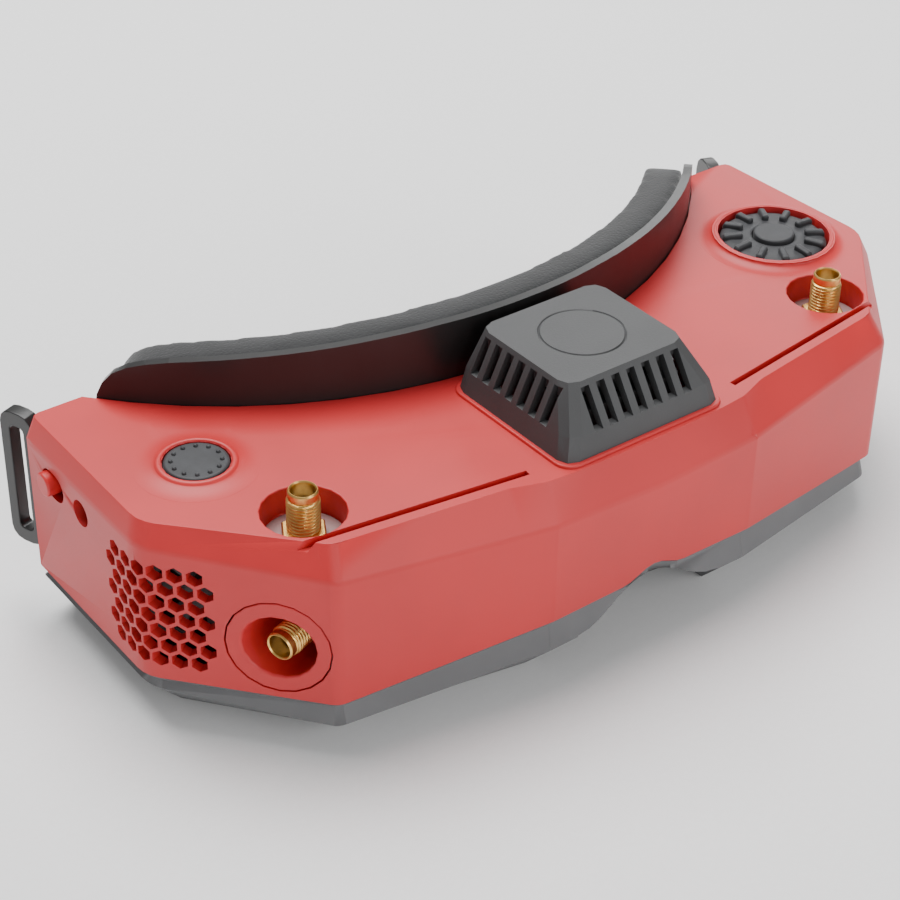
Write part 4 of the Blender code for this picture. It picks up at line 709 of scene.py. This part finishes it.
class GOGGLES_OT_fans(bpy.types.Operator):
    """Fan cover and the three fans"""
    bl_idname = "goggles.fans"
    bl_label = "Fans"

    def execute(self, context):
        cover = copy_of("fan_cover", "fan_cover_moulding")
        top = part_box("fan_cover")[1].z
        break_edges(cover, 0.55 * MM, 3, lambda a, b: (a - b).length > 6.0 * MM, 14.0)
        break_edges(cover, 0.14 * MM, 2, lambda a, b: (a - b).length < 6.0 * MM, 40.0)
        only(cover)
        bpy.ops.object.select_all(action="DESELECT")
        bpy.ops.mesh.primitive_torus_add(major_radius=8.4 * MM, minor_radius=0.28 * MM,
                                         major_segments=72, minor_segments=8)
        groove = named("cover_groove")
        middle = centre_of("fan_cover")
        move_into(groove, Matrix.Translation((middle.x, middle.y + 2.6 * MM, top)))
        cut(cover, groove)
        smooth(cover)
        finish_piece(cover, FINISHES["fan_cover"], "housing", "grey_plastic", "fan_cover")
        for name in ("top_fan", "side_fan_left", "side_fan_right"):
            dress(name + "_frame", FINISHES["fan"])
            dress(name + "_rotor", FINISHES["rotor"])
        return {"FINISHED"}


class GOGGLES_OT_sockets(bpy.types.Operator):
    """Four gold antenna sockets and the sockets in the shell's sides"""
    bl_idname = "goggles.sockets"
    bl_label = "Sockets"

    def execute(self, context):
        sizes = context.scene.goggles_sizes
        for side, turn in SIDES.items():
            flip = Vector((turn, 1.0, 1.0))
            self.add_jack("top_antenna_jack_" + side, turned_to(UP, TOP_JACK_BASE * flip), sizes)
            self.add_jack("side_antenna_jack_" + side,
                          turned_to(SIDE_JACK_AXIS * flip, SIDE_JACK_BASE * flip), sizes)
            for place in ("top", "side"):
                dress("{}_antenna_insulator_{}".format(place, side), FINISHES["insulator"])
        dress("headphone_jack", FINISHES["fan"])
        dress("power_jack", FINISHES["fan"])
        dress("video_port", FINISHES["steel"])
        dress("card_slot", FINISHES["steel"])
        return {"FINISHED"}

    def add_jack(self, node, place, sizes):
        """A socket with a helical thread outside, a plain tip, a stepped bore and a hexagon."""
        pitch = sizes.thread_pitch / MM
        depth = sizes.thread_depth / MM
        major, foot, shoulder, tip, nose = 3.175, 0.05, 6.7, 8.5, 2.86
        rows = int((shoulder - foot) / pitch * 8)
        thread = [foot + (shoulder - foot) * i / rows for i in range(rows + 1)]
        section = [(2.3, 2.5), (2.6, -2.4), (major - 0.1, -2.3)]
        section += [(major, height) for height in thread]
        section += [(nose - 0.05, shoulder + 0.14), (nose - 0.05, shoulder + 0.30),
                    (nose, shoulder + 0.38), (nose, tip - 0.3), (nose - 0.25, tip), (2.56, tip),
                    (2.34, tip - 0.25), (2.3, tip - 0.5)]
        jack = turned(node + "_threaded", section, 40)
        for vertex in jack.data.vertices:
            point = vertex.co / MM
            radius = math.hypot(point.x, point.y)
            if radius > major - 0.01 and foot - 0.01 < point.z < shoulder + 0.01:
                phase = (point.z / pitch - math.atan2(point.y, point.x) / (2.0 * math.pi)) % 1.0
                ridge = min(1.0, 1.4 * (1.0 - abs(2.0 * phase - 1.0)))
                taper = max(0.0, point.z - shoulder + 0.5) * 0.5
                share = (radius - depth * (1.0 - ridge) - taper) / radius
                vertex.co.x *= share
                vertex.co.y *= share
        move_into(jack, place)
        smooth(jack, 30.0)
        finish_piece(jack, FINISHES["gold"], "housing", "gold_plate", node)
        nut = turned(node + "_hexagon", ((2.7, -1.95), (4.45, -1.95), (4.6, -1.8), (4.6, -0.3),
                                         (4.3, -0.05), (2.7, -0.05)), 6)
        break_edges(nut, 0.12 * MM, 2)
        smooth(move_into(nut, place))
        finish_piece(nut, FINISHES["gold"], "housing", "gold_plate")


class GOGGLES_OT_controls(bpy.types.Operator):
    """Menu dial, its button, the record button and the power slide"""
    bl_idname = "goggles.controls"
    bl_label = "Controls"

    def execute(self, context):
        self.add_dial()
        self.add_record_button()
        remake("power_slider", FINISHES["slider"], "power_slide", "slider_red", 0.3 * MM)
        for node in ("dial_encoder", "record_switch"):
            dress(node, FINISHES["board"])
        dress("slide_switch", FINISHES["fan"])
        return {"FINISHED"}

    def add_dial(self):
        """The menu dial: a domed disc with raised grips, and the button in its middle."""
        middle = centre_of("menu_dial")
        place = Matrix.Translation((middle.x, middle.y, TOP_PLANE))
        dial = turned("menu_dial_disc", (
            (4.7, -2.6), (11.6, -2.6), (11.6, -0.6), (11.55, -0.2), (11.35, 0.15), (11.0, 0.45),
            (10.4, 0.66), (9.6, 0.76), (8.4, 0.76), (6.9, 0.74), (6.3, 0.80),
            (5.8, 0.88), (5.3, 0.88), (4.85, 0.8), (4.7, 0.6)), 72)
        grip = block("dial_grips", (6.9, -0.8, 0.0), (11.45, 0.8, 1.9), 0.55, 5)
        for vertex in grip.data.vertices:
            fall = max(0.0, vertex.co.x / MM - 10.2)
            vertex.co.z -= 0.5 * fall * fall * MM
        cut(dial, around(grip, 12), "UNION")
        smooth(move_into(dial, place), 45.0)
        finish_piece(dial, FINISHES["rubber"], "dial", "control_rubber", "menu_dial")
        cap = turned("dial_button_cap", (
            (0.0, -3.4), (1.6, -3.4), (1.6, -1.4), (4.4, -1.4), (4.4, 1.3), (4.3, 1.55), (4.1, 1.68),
            (3.8, 1.72), (1.5, 1.66), (0.0, 1.64)), 48)
        smooth(move_into(cap, place), 45.0)
        finish_piece(cap, FINISHES["rubber"], "dial_push", "control_rubber", "dial_button")

    def add_record_button(self):
        """The record button: a flat disc with a ring of small studs."""
        middle = centre_of("record_button")
        button = turned("record_button_cap", (
            (0.0, -3.0), (1.5, -3.0), (1.5, -1.4), (6.2, -1.4), (6.2, 0.45), (6.1, 0.75),
            (5.85, 0.93), (5.5, 0.98), (2.0, 0.98), (0.0, 0.98)), 64)
        stud = turned("record_studs", ((0.0, 0.8), (0.48, 0.8), (0.47, 1.1), (0.38, 1.32),
                                       (0.2, 1.42), (0.0, 1.45)), 12)
        cut(button, around(stud, 12, 4.75 * MM), "UNION")
        move_into(button, Matrix.Translation((middle.x, middle.y, TOP_PLANE)))
        smooth(button, 45.0)
        finish_piece(button, FINISHES["rubber"], "record_push", "control_rubber", "record_button")


class GOGGLES_OT_optics(bpy.types.Operator):
    """Eyepieces, their carriers, rails, wheels and sliders, and the electronics"""
    bl_idname = "goggles.optics"
    bl_label = "Optics"

    def execute(self, context):
        for side in SIDES:
            dress("optics_carrier_" + side, FINISHES["fan"])
            dress("microdisplay_" + side, FINISHES["screen"])
            dress("eye_lens_" + side, FINISHES["glass"])
            dress("rail_bracket_" + side, FINISHES["fan"])
            dress("ipd_rail_lower_" + side, FINISHES["steel"])
            remake("lens_barrel_" + side, FINISHES["frame"], "eyepiece_" + side, "black_plastic",
                   0.3 * MM)
            remake("focus_knob_" + side, FINISHES["rubber"], "focus_wheel_" + side,
                   "control_rubber", 0.2 * MM)
            remake("ipd_slider_" + side, FINISHES["rubber"], "eye_unit_" + side,
                   "control_rubber", 0.2 * MM)
        dress("ipd_rail_upper", FINISHES["steel"])
        dress("main_board", FINISHES["board"])
        dress("heat_sink", FINISHES["aluminium"])
        return {"FINISHED"}


class GOGGLES_OT_strap_loops(bpy.types.Operator):
    """The two loops that the head strap goes through"""
    bl_idname = "goggles.strap_loops"
    bl_label = "Strap Loops"

    def execute(self, context):
        for side in SIDES:
            remake("strap_loop_" + side, FINISHES["frame"], "housing", "black_plastic", 0.6 * MM, 3)
        return {"FINISHED"}


class GOGGLES_OT_stage(bpy.types.Operator):
    """Pale floor, soft studio lights and the camera"""
    bl_idname = "goggles.stage"
    bl_label = "Stage"

    def execute(self, context):
        self.add_floor()
        self.add_light("key", (0.05, 0.40, 1.05), (0.0, 0.0, 0.03), 1.0, 23.0)
        self.add_light("rim", (0.95, 0.72, 0.52), (0.0, 0.0, 0.03), 0.5, 3.0)
        self.add_light("front", (0.35, -1.1, 0.5), (0.0, 0.0, 0.02), 0.8, 6.0)
        self.add_light("brow", (-0.42, -1.0, 0.40), (-0.05, 0.0, 0.04), 0.35, 2.5)
        self.add_light("side", (-1.05, -0.15, 0.4), (0.0, 0.0, 0.02), 0.6, 0.5)
        world = bpy.data.worlds.new("studio")
        world.use_nodes = True
        world.node_tree.nodes["Background"].inputs["Color"].default_value = (1.0, 1.0, 1.0, 1.0)
        world.node_tree.nodes["Background"].inputs["Strength"].default_value = 0.30
        context.scene.world = world
        self.add_camera(context)
        return {"FINISHED"}

    def add_floor(self):
        bpy.ops.object.select_all(action="DESELECT")
        bpy.ops.mesh.primitive_plane_add(size=12.0, location=(0.0, 0.0, -0.2 * MM))
        floor = named("floor")
        shade = Shade("floor_paper", specular_ior_level=0.2)
        fibre = shade.noise(700.0, 2.0)
        shade.set(Base_Color=shade.mix(fibre, (0.86, 0.86, 0.86), (0.90, 0.90, 0.90)), Roughness=0.9)
        floor.data.materials.append(shade.material)
        settle(floor)

    def add_light(self, name, place, target, size, power):
        bpy.ops.object.select_all(action="DESELECT")
        bpy.ops.object.light_add(type="AREA", location=place)
        lamp = named(name)
        lamp.data.shape = "DISK"
        lamp.data.size = size
        lamp.data.energy = power
        lamp.rotation_euler = (Vector(target) - Vector(place)).to_track_quat("-Z", "Y").to_euler()

    def add_camera(self, context):
        azimuth = math.radians(-37.77)
        height = math.radians(34.33)
        roll = math.radians(0.98)
        back = Vector((math.sin(azimuth) * math.cos(height), -math.cos(azimuth) * math.cos(height),
                       math.sin(height)))
        target = Vector((-32.96 * MM, -21.44 * MM, 46.0 * MM))
        bpy.ops.object.camera_add(location=target + back * 410.09 * MM)
        camera = named("camera")
        camera.data.lens = 87.75
        camera.data.sensor_width = 36.0
        camera.data.clip_start = 0.01
        turn = (-back).to_track_quat("-Z", "Y").to_matrix().to_4x4()
        camera.matrix_world = (Matrix.Translation(camera.location) @ turn
                               @ Matrix.Rotation(roll, 4, "Z"))
        context.scene.camera = camera


class GOGGLES_PT_panel(bpy.types.Panel):
    """Buttons that build the goggles piece by piece"""
    bl_idname = "GOGGLES_PT_panel"
    bl_label = "Video Goggles"
    bl_space_type = "VIEW_3D"
    bl_region_type = "UI"
    bl_category = "Goggles"

    def draw(self, context):
        for group in (context.scene.goggles_sizes, context.scene.goggles_colours):
            column = self.layout.column()
            for name in group.__annotations__:
                column.prop(group, name)
        for operator in PIECES:
            self.layout.operator(operator.bl_idname)


PIECES = (GOGGLES_OT_housing, GOGGLES_OT_lower_cover, GOGGLES_OT_face, GOGGLES_OT_fans,
          GOGGLES_OT_sockets, GOGGLES_OT_controls, GOGGLES_OT_optics, GOGGLES_OT_strap_loops,
          GOGGLES_OT_stage)
CLASSES = (GOGGLES_colours, GOGGLES_sizes) + PIECES + (GOGGLES_PT_panel,)
FINISHES = {}


def register():
    for item in CLASSES:
        bpy.utils.register_class(item)
    bpy.types.Scene.goggles_colours = PointerProperty(type=GOGGLES_colours)
    bpy.types.Scene.goggles_sizes = PointerProperty(type=GOGGLES_sizes)


def unregister():
    del bpy.types.Scene.goggles_sizes
    del bpy.types.Scene.goggles_colours
    for item in reversed(CLASSES):
        bpy.utils.unregister_class(item)


def main():
    register()
    for item in [item for item in bpy.data.objects if item.type in ("LIGHT", "CAMERA")]:
        bpy.data.objects.remove(item)
    FINISHES.update(make_finishes(bpy.context.scene.goggles_colours))
    for operator in PIECES:
        group, name = operator.bl_idname.split(".")
        getattr(getattr(bpy.ops, group), name)()


if __name__ == "__main__":
    main()
